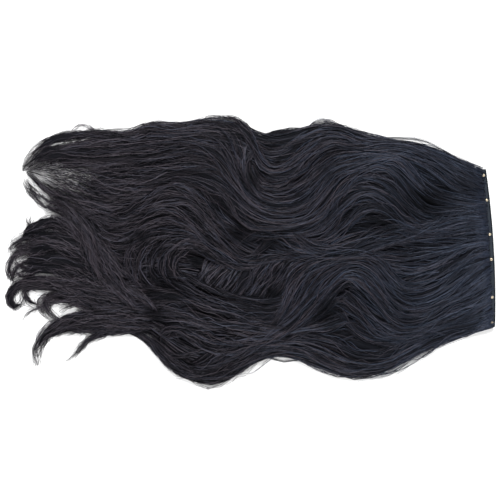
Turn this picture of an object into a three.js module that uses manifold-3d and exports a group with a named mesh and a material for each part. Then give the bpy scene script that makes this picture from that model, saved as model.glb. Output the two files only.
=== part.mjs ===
// A clip-in hair extension: a sewn weft that carries long wavy hair, with three comb clips riveted under it.
// It lies face up. +X points from the hair's ends to the weft, +Y to its left edge and +Z up.
// The origin is under the middle clip, on the surface that the extension lies on.

import * as THREE from "three";
import Module from "manifold-3d";
import { mergeVertices } from "three/addons/utils/BufferGeometryUtils.js";

const wasm = await Module();
wasm.setup();

// Driving dimensions, in millimetres and degrees.

// Weft: the tape that all the hair is sewn into. It bows gently and leans against the hair.
const weftLength = 165;
const weftBow = 3.5;
const weftLean = 3.3;
const bandDepth = 8;
const bandThickness = 2.2;
const bandOutside = 2.7; // from the rivets' line to the outer edge

// Hair, as laid out flat.
const hairLength = 503; // from the rivets' line to the longest tip
const hairSpread = 275; // across its widest place
const hairDepth = 16; // at its deepest
const rootDepth = 2.6; // where it is sewn on
const lockEdges = [0, 0.07, 0.16, 0.27, 0.34, 0.43, 0.5, 0.57, 0.68, 0.76, 0.84, 0.93, 1]; // across the mass
const valleyShare = 0.66; // how deep the mass is between two locks, against a lock's crest
const ridgePoints = 3; // round each lock
const massSteps = 34; // along the mass
const tipDepth = 1.6;
const tipWidth = 1.4;
const lockLift = 0.4; // a single lock's underside over the mass's
const lockShoulder = 0.45; // a single lock's depth at its sides, against its crest
const lockCrest = 0.45; // the crest's width, against the lock's
const hairClearance = 0.85; // from the rivets' heads to where the hair starts
const dropRun = 34; // from the tape's inner edge to where the hair's underside meets the surface

// Clips: pressed steel combs under the weft.
const rivetSpacing = 26.2;
const clipEnd = 3.4; // from a rivet's centre to the clip's end
const plateThickness = 1;
const clipShow = 0.8; // how far the back bar bends out past the tape
const barEnd = 1; // the bar's outer edge at the clip's ends, from the rivets' line
const barInside = 4; // its straight inner edge
const toothCount = 9;
const toothLength = 9.5;
const toothWidth = 1.3;
const bossWall = 1.3; // round the rivet's bore
const bossHeight = 1.9;
const rivetRadius = 0.9;
const rivetHeadLap = 0.25; // how far the head reaches past its hole
const rivetHeadHeight = 0.9;
const rivetGrip = 1.3; // how deep the rivet reaches into its boss

// Between pieces that touch, and for locks that are joined.
const gap = 0.3;
const joinTolerance = 0.01;

// Each clip's middle, as a share of the weft's length from the middle clip, and the band's own middle.
const clips = [
  { name: "clip_1", place: 0.375 },
  { name: "clip_2", place: 0 },
  { name: "clip_3", place: -0.397 },
];
const bandMiddle = -0.0075;

// The hair's flow, a row for each station from the weft to the ends. along is a share of hairLength. The next
// seven columns are the same seven strands at each station, as shares of hairSpread from the middle clip's line,
// from the left edge to the right edge. depth is a share of hairDepth.
const flow = [
  { along: 0.054, strands: [0.319, 0.162, 0.079, -0.008, -0.137, -0.246, -0.326], depth: 0.42 },
  { along: 0.106, strands: [0.366, 0.151, 0.083, -0.008, -0.182, -0.284, -0.356], depth: 0.62 },
  { along: 0.158, strands: [0.397, 0.208, 0.102, 0.003, -0.205, -0.329, -0.39], depth: 0.8 },
  { along: 0.209, strands: [0.41, 0.283, 0.174, 0.015, -0.189, -0.341, -0.458], depth: 0.94 },
  { along: 0.261, strands: [0.427, 0.317, 0.204, 0.026, -0.129, -0.295, -0.496], depth: 1 },
  { along: 0.313, strands: [0.461, 0.329, 0.177, 0, -0.095, -0.246, -0.49], depth: 1 },
  { along: 0.364, strands: [0.465, 0.268, 0.102, -0.057, -0.171, -0.284, -0.452], depth: 0.95 },
  { along: 0.416, strands: [0.442, 0.211, 0.064, -0.087, -0.276, -0.341, -0.415], depth: 0.9 },
  { along: 0.468, strands: [0.429, 0.223, 0.071, -0.08, -0.307, -0.379, -0.424], depth: 0.9 },
  { along: 0.519, strands: [0.469, 0.287, 0.124, -0.042, -0.28, -0.371, -0.473], depth: 0.94 },
  { along: 0.571, strands: [0.47, 0.329, 0.211, 0.015, -0.22, -0.39, -0.52], depth: 0.9 },
  { along: 0.623, strands: [0.459, 0.314, 0.223, 0.041, -0.186, -0.371, -0.509], depth: 0.8 },
  { along: 0.674, strands: [0.455, 0.302, 0.193, 0.034, -0.163, -0.314, -0.454], depth: 0.68 },
  { along: 0.726, strands: [0.416, 0.291, 0.155, 0.007, -0.152, -0.269, -0.345], depth: 0.56 },
  { along: 0.778, strands: [0.419, 0.28, 0.109, -0.019, -0.148, -0.25, -0.333], depth: 0.46 },
  { along: 0.83, strands: [0.427, 0.268, 0.079, -0.034, -0.148, -0.246, -0.34], depth: 0.38 },
];

// Locks fused to the main mass: waves that stand out of it, and free ends. path holds shares of hairLength and
// hairSpread, width is a share of hairSpread at the widest place, and depth is against the mass's depth there.
// A sunk lock dips back into the mass at its end, and any other runs out to a tip.
const singleLocks = [
  {
    name: "high_wave", width: 0.06, depth: 1.12, sunk: true,
    path: [[0.075, 0.132], [0.131, 0.132], [0.184, 0.23], [0.24, 0.306], [0.302, 0.329], [0.358, 0.276],
      [0.416, 0.238], [0.474, 0.26]],
  },
  {
    name: "main_wave", width: 0.06, depth: 1.14, sunk: true,
    path: [[0.106, 0.094], [0.151, 0.113], [0.205, 0.185], [0.277, 0.223], [0.344, 0.158], [0.412, 0.071],
      [0.474, 0.064], [0.519, 0.121], [0.571, 0.23], [0.654, 0.227], [0.736, 0.17]],
  },
  {
    name: "low_wave", width: 0.06, depth: 1.14, sunk: true,
    path: [[0.085, -0.125], [0.137, -0.167], [0.178, -0.167], [0.23, -0.091], [0.292, -0.042], [0.35, -0.095],
      [0.399, -0.2], [0.457, -0.322], [0.53, -0.439]],
  },
  {
    name: "light_wave", width: 0.05, depth: 1.1, sunk: true,
    path: [[0.085, -0.239], [0.147, -0.288], [0.205, -0.288], [0.261, -0.216], [0.313, -0.137], [0.358, -0.163],
      [0.395, -0.246]],
  },
  {
    name: "curl", width: 0.04, depth: 1.15, sunk: true,
    path: [[0.38, 0.32], [0.437, 0.27], [0.474, 0.27], [0.499, 0.31], [0.505, 0.37]],
  },
  {
    name: "ring", width: 0.05, depth: 1.15, sunk: true,
    path: [[0.46, -0.34], [0.55, -0.345], [0.612, -0.314], [0.664, -0.3], [0.694, -0.335], [0.69, -0.385],
      [0.64, -0.43]],
  },
  {
    name: "diagonal", width: 0.06, depth: 1.25, sunk: false,
    path: [[0.62, -0.29], [0.705, -0.22], [0.757, -0.152], [0.799, -0.057], [0.825, 0.026], [0.858, 0.113],
      [0.92, 0.16]],
  },
  {
    name: "hollow", width: 0.06, depth: 1.15, sunk: false,
    path: [[0.6, -0.03], [0.643, -0.019], [0.705, 0.011], [0.763, 0.015], [0.805, 0.06], [0.855, 0.14]],
  },
  {
    name: "loop", width: 0.022, depth: 0.9, sunk: false,
    path: [[0.72, 0.37], [0.78, 0.4], [0.84, 0.405], [0.892, 0.4], [0.929, 0.366], [0.954, 0.31], [0.962, 0.245],
      [0.947, 0.185], [0.918, 0.14]],
  },
  {
    name: "high_end", width: 0.09, depth: 0.9, sunk: false,
    path: [[0.7, 0.36], [0.8, 0.37], [0.87, 0.37], [0.935, 0.35]],
  },
  {
    name: "high_end_inner", width: 0.09, depth: 0.9, sunk: false,
    path: [[0.7, 0.27], [0.8, 0.29], [0.86, 0.3], [0.905, 0.295]],
  },
  {
    name: "notch_end", width: 0.12, depth: 0.95, sunk: false,
    path: [[0.68, 0.14], [0.76, 0.16], [0.83, 0.165], [0.88, 0.16], [0.925, 0.138]],
  },
  {
    name: "clump_high", width: 0.13, depth: 1.05, sunk: false,
    path: [[0.7, 0.04], [0.79, 0.055], [0.87, 0.06], [0.93, 0.045], [0.962, 0.02], [0.975, -0.02]],
  },
  {
    name: "clump_mid", width: 0.13, depth: 1.1, sunk: false,
    path: [[0.7, -0.03], [0.8, -0.01], [0.88, -0.005], [0.95, -0.02], [0.985, -0.06], [0.993, -0.11]],
  },
  {
    name: "clump_low", width: 0.12, depth: 1.05, sunk: false,
    path: [[0.69, -0.1], [0.79, -0.09], [0.88, -0.08], [0.95, -0.09], [0.985, -0.12]],
  },
  {
    name: "hook", width: 0.08, depth: 1.1, sunk: false,
    path: [[0.7, -0.13], [0.8, -0.14], [0.89, -0.13], [0.95, -0.135], [0.985, -0.155], [0.996, -0.189],
      [0.986, -0.22]],
  },
  {
    name: "hook_inner", width: 0.09, depth: 1, sunk: false,
    path: [[0.71, -0.17], [0.79, -0.18], [0.86, -0.17], [0.92, -0.15], [0.966, -0.165]],
  },
  {
    name: "wisp", width: 0.05, depth: 0.9, sunk: false,
    path: [[0.71, -0.22], [0.8, -0.225], [0.86, -0.21], [0.9, -0.205], [0.93, -0.23]],
  },
  {
    name: "low_wisp", width: 0.05, depth: 0.9, sunk: false,
    path: [[0.7, -0.27], [0.79, -0.28], [0.86, -0.288], [0.908, -0.28], [0.93, -0.25]],
  },
  {
    name: "low_tail", width: 0.05, depth: 0.9, sunk: false,
    path: [[0.7, -0.29], [0.8, -0.305], [0.87, -0.312], [0.913, -0.34], [0.933, -0.375], [0.94, -0.42]],
  },
  {
    name: "low_tail_short", width: 0.04, depth: 0.9, sunk: false,
    path: [[0.69, -0.31], [0.77, -0.325], [0.82, -0.34], [0.85, -0.37], [0.866, -0.41]],
  },
];

// Worked out from the driving dimensions.
const bossTop = plateThickness + bossHeight;
const bandBase = bossTop + gap;
const bandTop = bandBase + bandThickness;
const hairBase = bandTop + gap;
const bandInside = bandDepth - bandOutside;
const clipLength = rivetSpacing + 2 * clipEnd;
const holeRadius = rivetRadius + gap;
const bossRadius = holeRadius + bossWall;
const rivetHeadRadius = holeRadius + rivetHeadLap;
const hairInset = rivetHeadRadius + hairClearance;

const paint = {
  tape: new THREE.MeshStandardMaterial({ color: 0x23272b, roughness: 0.9, metalness: 0 }),
  hair: new THREE.MeshStandardMaterial({ color: 0x222226, roughness: 0.55, metalness: 0 }),
  steel: new THREE.MeshStandardMaterial({ color: 0x151515, roughness: 0.4, metalness: 0.6 }),
  rivet: new THREE.MeshStandardMaterial({ color: 0xbeaf96, roughness: 0.35, metalness: 0.9 }),
};

const extension = new THREE.Group();

function addPiece(name, geometry, material) {
  const mesh = new THREE.Mesh(geometry, material);
  mesh.name = name;
  extension.add(mesh);
}

// The line through the rivets is an arc. t runs along it from the middle clip, and inward is how far a point
// lies from it towards the hair.
const weftRadius = weftLength ** 2 / (8 * weftBow) + weftBow / 2;
const weftTurn = THREE.MathUtils.degToRad(weftLean);

function weftPoint(t, inward) {
  const angle = (t - bandMiddle * weftLength) / weftRadius;
  const start = -(bandMiddle * weftLength) / weftRadius;
  const r = weftRadius - inward;
  const x = r * Math.cos(angle) - weftRadius * Math.cos(start);
  const y = r * Math.sin(angle) - weftRadius * Math.sin(start);
  return new THREE.Vector2(x, y).rotateAround(new THREE.Vector2(0, 0), weftTurn);
}

function weftAngle(t) {
  return (t - bandMiddle * weftLength) / weftRadius + weftTurn;
}

const bandEnds = [bandMiddle - 0.5, bandMiddle + 0.5].map((share) => share * weftLength);

const rivetPlaces = clips.map((clip) => {
  const middle = clip.place * weftLength;
  return [middle + rivetSpacing / 2, middle - rivetSpacing / 2];
});

// Joins and cuts, on closed meshes.

function toSolid(geometry) {
  const bare = geometry.clone();
  bare.deleteAttribute("normal");
  bare.deleteAttribute("uv");
  const merged = mergeVertices(bare, 1e-4);
  return new wasm.Manifold(
    new wasm.Mesh({
      numProp: 3,
      vertProperties: new Float32Array(merged.attributes.position.array),
      triVerts: new Uint32Array(merged.index.array),
    }),
  );
}

function toGeometry(solid) {
  const mesh = solid.getMesh();
  const geometry = new THREE.BufferGeometry();
  geometry.setAttribute("position", new THREE.BufferAttribute(new Float32Array(mesh.vertProperties), 3));
  geometry.setIndex(Array.from(mesh.triVerts));
  geometry.computeVertexNormals();
  return geometry;
}

// The triangles that close a flat ring, in the ring's own order.
function capFaces(ring) {
  const middle = ring.reduce((sum, p) => sum.add(p), new THREE.Vector3()).divideScalar(ring.length);
  const normal = new THREE.Vector3();
  ring.forEach((p, i) => {
    const next = ring[(i + 1) % ring.length];
    normal.add(p.clone().sub(middle).cross(next.clone().sub(middle)));
  });
  normal.normalize();
  const across = ring[1].clone().sub(ring[0]).projectOnPlane(normal).normalize();
  const up = normal.clone().cross(across);
  const outline = ring.map((p) => new THREE.Vector2(p.dot(across), p.dot(up)));
  return THREE.ShapeUtils.triangulateShape(outline, []);
}

// A closed body through rings of points. Each ring runs the same way round, seen from its start.
function loft(rings) {
  const count = rings[0].length;
  const points = rings.flat();
  const faces = [];
  for (let i = 0; i + 1 < rings.length; i++) {
    for (let j = 0; j < count; j++) {
      const a = i * count + j;
      const b = i * count + ((j + 1) % count);
      faces.push(a, b, b + count, a, b + count, a + count);
    }
  }
  const last = (rings.length - 1) * count;
  faces.push(...capFaces(rings[0]).flatMap(([a, b, c]) => [a, c, b]));
  faces.push(...capFaces(rings.at(-1)).flatMap(([a, b, c]) => [last + a, last + b, last + c]));
  const geometry = new THREE.BufferGeometry();
  geometry.setAttribute("position", new THREE.Float32BufferAttribute(points.flatMap((p) => p.toArray()), 3));
  geometry.setIndex(faces);
  return geometry;
}

// The tape, with a hole for each rivet.
function makeBand() {
  const steps = 20;
  const edge = (inward) =>
    Array.from({ length: steps + 1 }, (_, i) => {
      const t = THREE.MathUtils.lerp(bandEnds[0], bandEnds[1], i / steps);
      return weftPoint(t, inward);
    });
  const outline = new THREE.Shape([...edge(-bandOutside), ...edge(bandInside).reverse()]);
  for (const t of rivetPlaces.flat()) {
    const hole = new THREE.Path();
    const centre = weftPoint(t, 0);
    hole.absarc(centre.x, centre.y, holeRadius, 0, 2 * Math.PI, true);
    outline.holes.push(hole);
  }
  const band = new THREE.ExtrudeGeometry(outline, { depth: bandThickness, bevelEnabled: false, curveSegments: 5 });
  return band.translate(0, 0, bandBase);
}

addPiece("weft_band", makeBand(), paint.tape);

// One clip: a flat comb whose back bar bends out past the weft, and two bosses that the rivets go into.
// It is drawn with its bar along Y and its teeth towards -X, then turned to follow the weft.
function makeClip(t) {
  const half = clipLength / 2;
  const barOut = bandOutside + clipShow;
  const bar = new THREE.Shape();
  bar.moveTo(barEnd, -half);
  bar.quadraticCurveTo(2 * barOut - barEnd, 0, barEnd, half);
  bar.lineTo(-barInside, half);
  bar.lineTo(-barInside, -half);
  const plate = new THREE.ExtrudeGeometry(bar, { depth: plateThickness, bevelEnabled: false, curveSegments: 12 });
  let clip = toSolid(plate);
  const pitch = (clipLength - toothWidth) / (toothCount - 1);
  for (let i = 0; i < toothCount; i++) {
    const tooth = new THREE.BoxGeometry(toothLength + barInside, toothWidth, plateThickness);
    const y = -half + toothWidth / 2 + i * pitch;
    tooth.translate(-(toothLength + barInside) / 2, y, plateThickness / 2);
    clip = clip.add(toSolid(tooth));
  }
  for (const side of [-1, 1]) {
    const boss = new THREE.CylinderGeometry(bossRadius, bossRadius, bossTop, 16).rotateX(Math.PI / 2);
    boss.translate(0, (side * rivetSpacing) / 2, bossTop / 2);
    clip = clip.add(toSolid(boss));
  }
  for (const side of [-1, 1]) {
    const depth = rivetGrip + gap;
    const bore = new THREE.CylinderGeometry(holeRadius, holeRadius, 2 * depth, 12).rotateX(Math.PI / 2);
    bore.translate(0, (side * rivetSpacing) / 2, bossTop);
    clip = clip.subtract(toSolid(bore));
  }
  const place = weftPoint(t, 0);
  return toGeometry(clip)
    .rotateZ(weftAngle(t))
    .translate(place.x, place.y, 0);
}

// A rivet: a shank through the tape into the boss, with a low domed head on the tape.
function makeRivet(t) {
  const headBase = bandTop + gap;
  const profile = [
    [0, bossTop - rivetGrip],
    [rivetRadius, bossTop - rivetGrip],
    [rivetRadius, headBase],
    [rivetHeadRadius, headBase],
    [rivetHeadRadius * 0.92, headBase + rivetHeadHeight * 0.55],
    [rivetHeadRadius * 0.6, headBase + rivetHeadHeight * 0.9],
    [0, headBase + rivetHeadHeight],
  ].map(([radius, height]) => new THREE.Vector2(radius, height));
  const rivet = new THREE.LatheGeometry(profile, 12).rotateX(Math.PI / 2);
  const place = weftPoint(t, 0);
  return rivet.translate(place.x, place.y, 0);
}

clips.forEach((clip, i) => {
  const middle = clip.place * weftLength;
  addPiece(clip.name, makeClip(middle), paint.steel);
  addPiece(`${clip.name}_rivet_a`, makeRivet(rivetPlaces[i][0]), paint.rivet);
  addPiece(`${clip.name}_rivet_b`, makeRivet(rivetPlaces[i][1]), paint.rivet);
});

// Hair.

// The place of a strand at a station. side runs from 0 at the left edge to 1 at the right.
function strandAcross(row, side) {
  const at = side * (row.strands.length - 1);
  const k = Math.min(Math.floor(at), row.strands.length - 2);
  return THREE.MathUtils.lerp(row.strands[k], row.strands[k + 1], at - k) * hairSpread;
}

function rootPoint(side) {
  const [right, left] = bandEnds;
  return weftPoint(THREE.MathUtils.lerp(left - gap, right + gap, side), hairInset);
}

// The underside leaves the tape, passes over the clips' teeth and comes down to the surface.
function underside(p) {
  const t = THREE.MathUtils.clamp(p.y, ...bandEnds);
  const out = weftPoint(t, 0).x - p.x - bandInside - gap;
  return hairBase * (1 - THREE.MathUtils.smoothstep(out, 0, dropRun));
}

// The whole depth of the hair at a place along it, from the table.
const depthCurve = [{ at: hairInset, deep: rootDepth }].concat(
  flow.map((row) => ({ at: row.along * hairLength, deep: row.depth * hairDepth })),
  [{ at: hairLength, deep: tipDepth }],
);

function depthAt(x) {
  const at = THREE.MathUtils.clamp(-x, depthCurve[0].at, hairLength);
  const k = depthCurve.findIndex((row, i) => i > 0 && row.at >= at);
  const [a, b] = [depthCurve[k - 1], depthCurve[k]];
  return THREE.MathUtils.mapLinear(at, a.at, b.at, a.deep, b.deep);
}

// The main mass: the backing with its locks side by side, one ridge for each, that follow the strands' waves.
function makeMass() {
  const lockCount = lockEdges.length - 1;
  const places = Array.from({ length: lockCount * ridgePoints + 1 }, (_, i) => {
    const lock = Math.min(Math.floor(i / ridgePoints), lockCount - 1);
    const share = i / ridgePoints - lock;
    return { lock, share, side: THREE.MathUtils.lerp(lockEdges[lock], lockEdges[lock + 1], share) };
  });
  const lines = places.map(({ side }) => {
    const knots = [rootPoint(side)].concat(
      flow.map((row) => new THREE.Vector2(-row.along * hairLength, strandAcross(row, side))),
    );
    return new THREE.SplineCurve(knots).getPoints(massSteps);
  });
  const rings = Array.from({ length: massSteps + 1 }, (_, i) => {
    const row = lines.map((line) => line[i]);
    const low = row.map((p) => new THREE.Vector3(p.x, p.y, underside(p)));
    const top = row.map((p, j) => {
      const { lock, share, side } = places[j];
      const ridge = Math.sin(Math.PI * share) ** 0.7;
      const crest = 0.86 + 0.14 * Math.sin(2.4 * lock + 0.25 * i);
      const crown = 0.3 + 0.7 * Math.sin(Math.PI * side) ** 0.45;
      const deep = depthAt(p.x) * crown * (valleyShare + (1 - valleyShare) * ridge * crest);
      return new THREE.Vector3(p.x, p.y, underside(p) + deep);
    });
    return [low[0], low[Math.floor(low.length / 2)], low.at(-1), ...top.reverse()];
  });
  return loft(rings);
}

// A lock: a swept body along a path, with a low crest. Its width and depth follow functions of the share run.
function makeLock(path, steps, halfWidthAt, deepAt, lift) {
  const curve = new THREE.CatmullRomCurve3(path.map((p) => new THREE.Vector3(p.x, p.y, 0)), false, "centripetal");
  const rings = [];
  for (let i = 0; i <= steps; i++) {
    const run = i / steps;
    const p = curve.getPointAt(run);
    const way = curve.getTangentAt(run);
    const side = new THREE.Vector3(-way.y, way.x, 0).normalize();
    const half = halfWidthAt(run, p);
    const base = underside(p) + lift;
    const deep = Math.max(deepAt(run, p) - lift, tipDepth / 2);
    const section = [
      [1, 0],
      [1, lockShoulder],
      [lockCrest, 1],
      [-lockCrest, 1],
      [-1, lockShoulder],
      [-1, 0],
    ];
    rings.push(
      section.map(([out, up]) => {
        const q = p.clone().addScaledVector(side, out * half);
        q.z = base + up * deep;
        return q;
      }),
    );
  }
  return loft(rings);
}

// A single lock rises out of the mass at its start.
function makeSingleLock(row, index) {
  const path = row.path.map(([along, across]) => new THREE.Vector2(-along * hairLength, across * hairSpread));
  const widest = (row.width * hairSpread) / 2;
  const rise = (run) => THREE.MathUtils.smoothstep(run, 0, 0.25);
  const fade = (run) => (row.sunk ? rise(1 - run) : 1 - run ** 2.5);
  const width = (run) => tipWidth / 2 + widest * (0.45 + 0.55 * rise(run)) * fade(run);
  const sink = (run) => 0.5 + 0.5 * rise(run) * (row.sunk ? rise(1 - run) : 1);
  const steps = Math.round(2.6 * (path.length - 1));
  return makeLock(path, steps, width, (run, p) => depthAt(p.x) * row.depth * sink(run), lockLift + 0.15 * (index % 3));
}

let hair = toSolid(makeMass());
singleLocks.forEach((row, index) => {
  hair = hair.add(toSolid(makeSingleLock(row, index)));
});
addPiece("hair_locks", toGeometry(hair.setTolerance(joinTolerance)), paint.hair);

export default extension;
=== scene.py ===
# A clip-in hair extension, laid face up: long wavy black hair sewn into a weft that carries three comb clips.

import math

import bpy
import numpy as np
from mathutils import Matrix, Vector


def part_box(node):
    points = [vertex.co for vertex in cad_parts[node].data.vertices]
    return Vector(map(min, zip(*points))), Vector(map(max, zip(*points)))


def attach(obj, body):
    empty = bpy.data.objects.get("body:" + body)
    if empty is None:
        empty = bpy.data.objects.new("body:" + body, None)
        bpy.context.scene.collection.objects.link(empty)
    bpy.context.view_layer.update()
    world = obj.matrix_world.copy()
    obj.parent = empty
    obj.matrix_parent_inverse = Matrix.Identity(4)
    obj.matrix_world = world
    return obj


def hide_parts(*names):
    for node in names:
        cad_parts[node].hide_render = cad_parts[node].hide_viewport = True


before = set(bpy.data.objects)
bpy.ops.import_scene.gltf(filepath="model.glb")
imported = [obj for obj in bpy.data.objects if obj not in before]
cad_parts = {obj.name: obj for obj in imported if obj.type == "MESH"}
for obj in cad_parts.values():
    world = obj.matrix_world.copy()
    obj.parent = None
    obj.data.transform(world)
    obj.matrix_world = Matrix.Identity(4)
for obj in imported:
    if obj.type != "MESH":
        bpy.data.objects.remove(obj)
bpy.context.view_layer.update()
scene = bpy.context.scene

# The camera looks straight down on the extension. The middle clip, where the part's origin is, and the middle
# of the photograph give its place. One pixel of the photograph is 1.04 mm of the extension.

pixel = 0.00104
photo_span = 500 * pixel
photo_middle_px = (250, 250)
middle_clip_px = (491.2, 246.9)
hair_low, hair_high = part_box("hair_locks")

camera = bpy.data.objects.new("camera", bpy.data.cameras.new("camera"))
camera.data.lens = 100
camera.data.sensor_width = 36
camera_away = photo_span * camera.data.lens / camera.data.sensor_width
camera.location = (
    (photo_middle_px[0] - middle_clip_px[0]) * pixel,
    (middle_clip_px[1] - photo_middle_px[1]) * pixel,
    camera_away + hair_high.z / 2,
)
camera.data.clip_start = 0.05
scene.collection.objects.link(camera)
scene.camera = camera

# The room is a plain white surface under two broad soft lights, one on each side of the hair, and a pale even
# sky. Light from the sides shows on the strands that lie lengthwise, and leaves the ones across it darker.

scene.view_settings.view_transform = "Standard"
floor_half = 4
floor_corners = [
    (-floor_half, -floor_half, 0),
    (floor_half, -floor_half, 0),
    (floor_half, floor_half, 0),
    (-floor_half, floor_half, 0),
]
floor_mesh = bpy.data.meshes.new("floor")
floor_mesh.from_pydata(floor_corners, [], [(0, 1, 2, 3)])
floor = bpy.data.objects.new("floor", floor_mesh)
scene.collection.objects.link(floor)

floor_white = bpy.data.materials.new("floor_white")
floor_white.use_nodes = True
floor_shader = floor_white.node_tree.nodes["Principled BSDF"]
floor_shader.inputs["Base Color"].default_value = (0.92, 0.92, 0.92, 1)
floor_shader.inputs["Roughness"].default_value = 0.9
floor_shader.inputs["Specular IOR Level"].default_value = 0.1
floor_mesh.materials.append(floor_white)

scene.world = bpy.data.worlds.new("sky")
scene.world.use_nodes = True
sky = scene.world.node_tree.nodes["Background"]
sky.inputs["Color"].default_value = (1, 1, 1, 1)
sky.inputs["Strength"].default_value = 0.28


def add_softbox(name, place, size, power):
    """A square light that is turned to the middle of the hair."""
    light = bpy.data.lights.new(name, "AREA")
    light.shape = "SQUARE"
    light.size = size
    light.energy = power
    lamp = bpy.data.objects.new(name, light)
    lamp.location = place
    aim = Vector((hair_low.x / 2, 0, 0)) - lamp.location
    lamp.rotation_euler = aim.to_track_quat("-Z", "Y").to_euler()
    scene.collection.objects.link(lamp)


add_softbox("key_light", place=(-0.1, 1.5, 1.5), size=1.1, power=64)
add_softbox("fill_light", place=(-0.3, -1.5, 1.5), size=1.1, power=42)

# The weft's tape is a folded strip of dark woven ribbon, about 8 mm wide, that the hair is sewn into. It
# keeps the frame's solid, with edges softened by the fold and a fine ribbed weave across it.

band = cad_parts["weft_band"]
band_low, band_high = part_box("weft_band")
band_top = band_high.z
# How far its outer and inner edges lie from the line of the rivets
band_outside = 0.0027
band_inside = 0.0053
fold_radius = 0.0007


def new_material(name, colour, roughness, specular=0.5, metallic=0):
    """A material with these values on its shader, and the shader itself."""
    material = bpy.data.materials.new(name)
    material.use_nodes = True
    shader = material.node_tree.nodes["Principled BSDF"]
    shader.inputs["Base Color"].default_value = (*colour, 1)
    shader.inputs["Roughness"].default_value = roughness
    shader.inputs["Specular IOR Level"].default_value = specular
    shader.inputs["Metallic"].default_value = metallic
    return material, shader


def add_node(tree, kind, **values):
    """A node with its settings, and with the values of its inputs, whose names have _ for a space."""
    node = tree.nodes.new(kind)
    for name, value in values.items():
        if hasattr(node, name):
            setattr(node, name, value)
        else:
            node.inputs[name.replace("_", " ")].default_value = value
    return node


def wire(tree, *pairs):
    for start, end in pairs:
        tree.links.new(start, end)


def make_grain_group():
    """Fine unevenness that the tape, thread, enamel and brass share, each at its own scale."""
    tree = bpy.data.node_groups.new("fine_grain", "ShaderNodeTree")
    inputs = [("Scale", 900), ("Smooth", 0.3), ("Rough", 0.5), ("Depth", 0.0001)]
    for name, value in inputs:
        tree.interface.new_socket(name, in_out="INPUT", socket_type="NodeSocketFloat").default_value = value
    tree.interface.new_socket("Mask", in_out="OUTPUT", socket_type="NodeSocketFloat")
    tree.interface.new_socket("Roughness", in_out="OUTPUT", socket_type="NodeSocketFloat")
    tree.interface.new_socket("Normal", in_out="OUTPUT", socket_type="NodeSocketVector")
    given = add_node(tree, "NodeGroupInput")
    result = add_node(tree, "NodeGroupOutput")
    place = add_node(tree, "ShaderNodeTexCoord")
    noise = add_node(tree, "ShaderNodeTexNoise", Detail=4.0)
    between = add_node(tree, "ShaderNodeMapRange")
    bump = add_node(tree, "ShaderNodeBump", Strength=0.8)
    wire(
        tree,
        (place.outputs["Object"], noise.inputs["Vector"]),
        (given.outputs["Scale"], noise.inputs["Scale"]),
        (noise.outputs["Fac"], between.inputs["Value"]),
        (given.outputs["Smooth"], between.inputs["To Min"]),
        (given.outputs["Rough"], between.inputs["To Max"]),
        (noise.outputs["Fac"], bump.inputs["Height"]),
        (given.outputs["Depth"], bump.inputs["Distance"]),
        (noise.outputs["Fac"], result.inputs["Mask"]),
        (between.outputs["Result"], result.inputs["Roughness"]),
        (bump.outputs["Normal"], result.inputs["Normal"]),
    )
    return tree


fine_grain = make_grain_group()


def add_grain(tree, scale, smooth, rough, depth):
    grain = add_node(tree, "ShaderNodeGroup")
    grain.node_tree = fine_grain
    grain.inputs["Scale"].default_value = scale
    grain.inputs["Smooth"].default_value = smooth
    grain.inputs["Rough"].default_value = rough
    grain.inputs["Depth"].default_value = depth
    return grain


tape, tape_shader = new_material("woven_tape", colour=(0.017, 0.022, 0.03), roughness=0.85, specular=0.25)
tape_grain = add_grain(tape.node_tree, scale=2600, smooth=0.75, rough=0.95, depth=0.00012)
tape_place = add_node(tape.node_tree, "ShaderNodeTexCoord")
tape_ribs = add_node(tape.node_tree, "ShaderNodeTexWave", bands_direction="Y", Scale=420.0, Distortion=1.2)
tape_colour = add_node(tape.node_tree, "ShaderNodeMix", data_type="RGBA")
tape_colour.inputs["A"].default_value = (0.008, 0.011, 0.016, 1)
tape_colour.inputs["B"].default_value = (0.026, 0.033, 0.044, 1)
tape_bump = add_node(tape.node_tree, "ShaderNodeBump", Strength=0.6, Distance=0.00025)
wire(
    tape.node_tree,
    (tape_place.outputs["Object"], tape_ribs.inputs["Vector"]),
    (tape_ribs.outputs["Fac"], tape_colour.inputs["Factor"]),
    (tape_ribs.outputs["Fac"], tape_bump.inputs["Height"]),
    (tape_grain.outputs["Normal"], tape_bump.inputs["Normal"]),
    (tape_colour.outputs["Result"], tape_shader.inputs["Base Color"]),
    (tape_grain.outputs["Roughness"], tape_shader.inputs["Roughness"]),
    (tape_bump.outputs["Normal"], tape_shader.inputs["Normal"]),
)
band.data.materials.clear()
band.data.materials.append(tape)
band_fold = band.modifiers.new("fold", "BEVEL")
band_fold.width = fold_radius
band_fold.segments = 3

# The weft follows a shallow curve through its six rivets.
rivet_names = [f"clip_{n}_rivet_{side}" for n in (1, 2, 3) for side in "ab"]
rivet_boxes = [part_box(name) for name in rivet_names]
rivet_middles = np.array([[(low[k] + high[k]) / 2 for k in range(3)] for low, high in rivet_boxes])
weft_line = np.polyfit(rivet_middles[:, 1], rivet_middles[:, 0], 2)


def weft_x(y):
    """Where the line of the rivets is, at this place across."""
    return np.polyval(weft_line, np.clip(y, band_low.y, band_high.y))


# A cord of overlocked thread closes the tape's outer edge, and a row of short slanting stitches holds the
# hair down along its inner side. Both are dark polyester thread.


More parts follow.
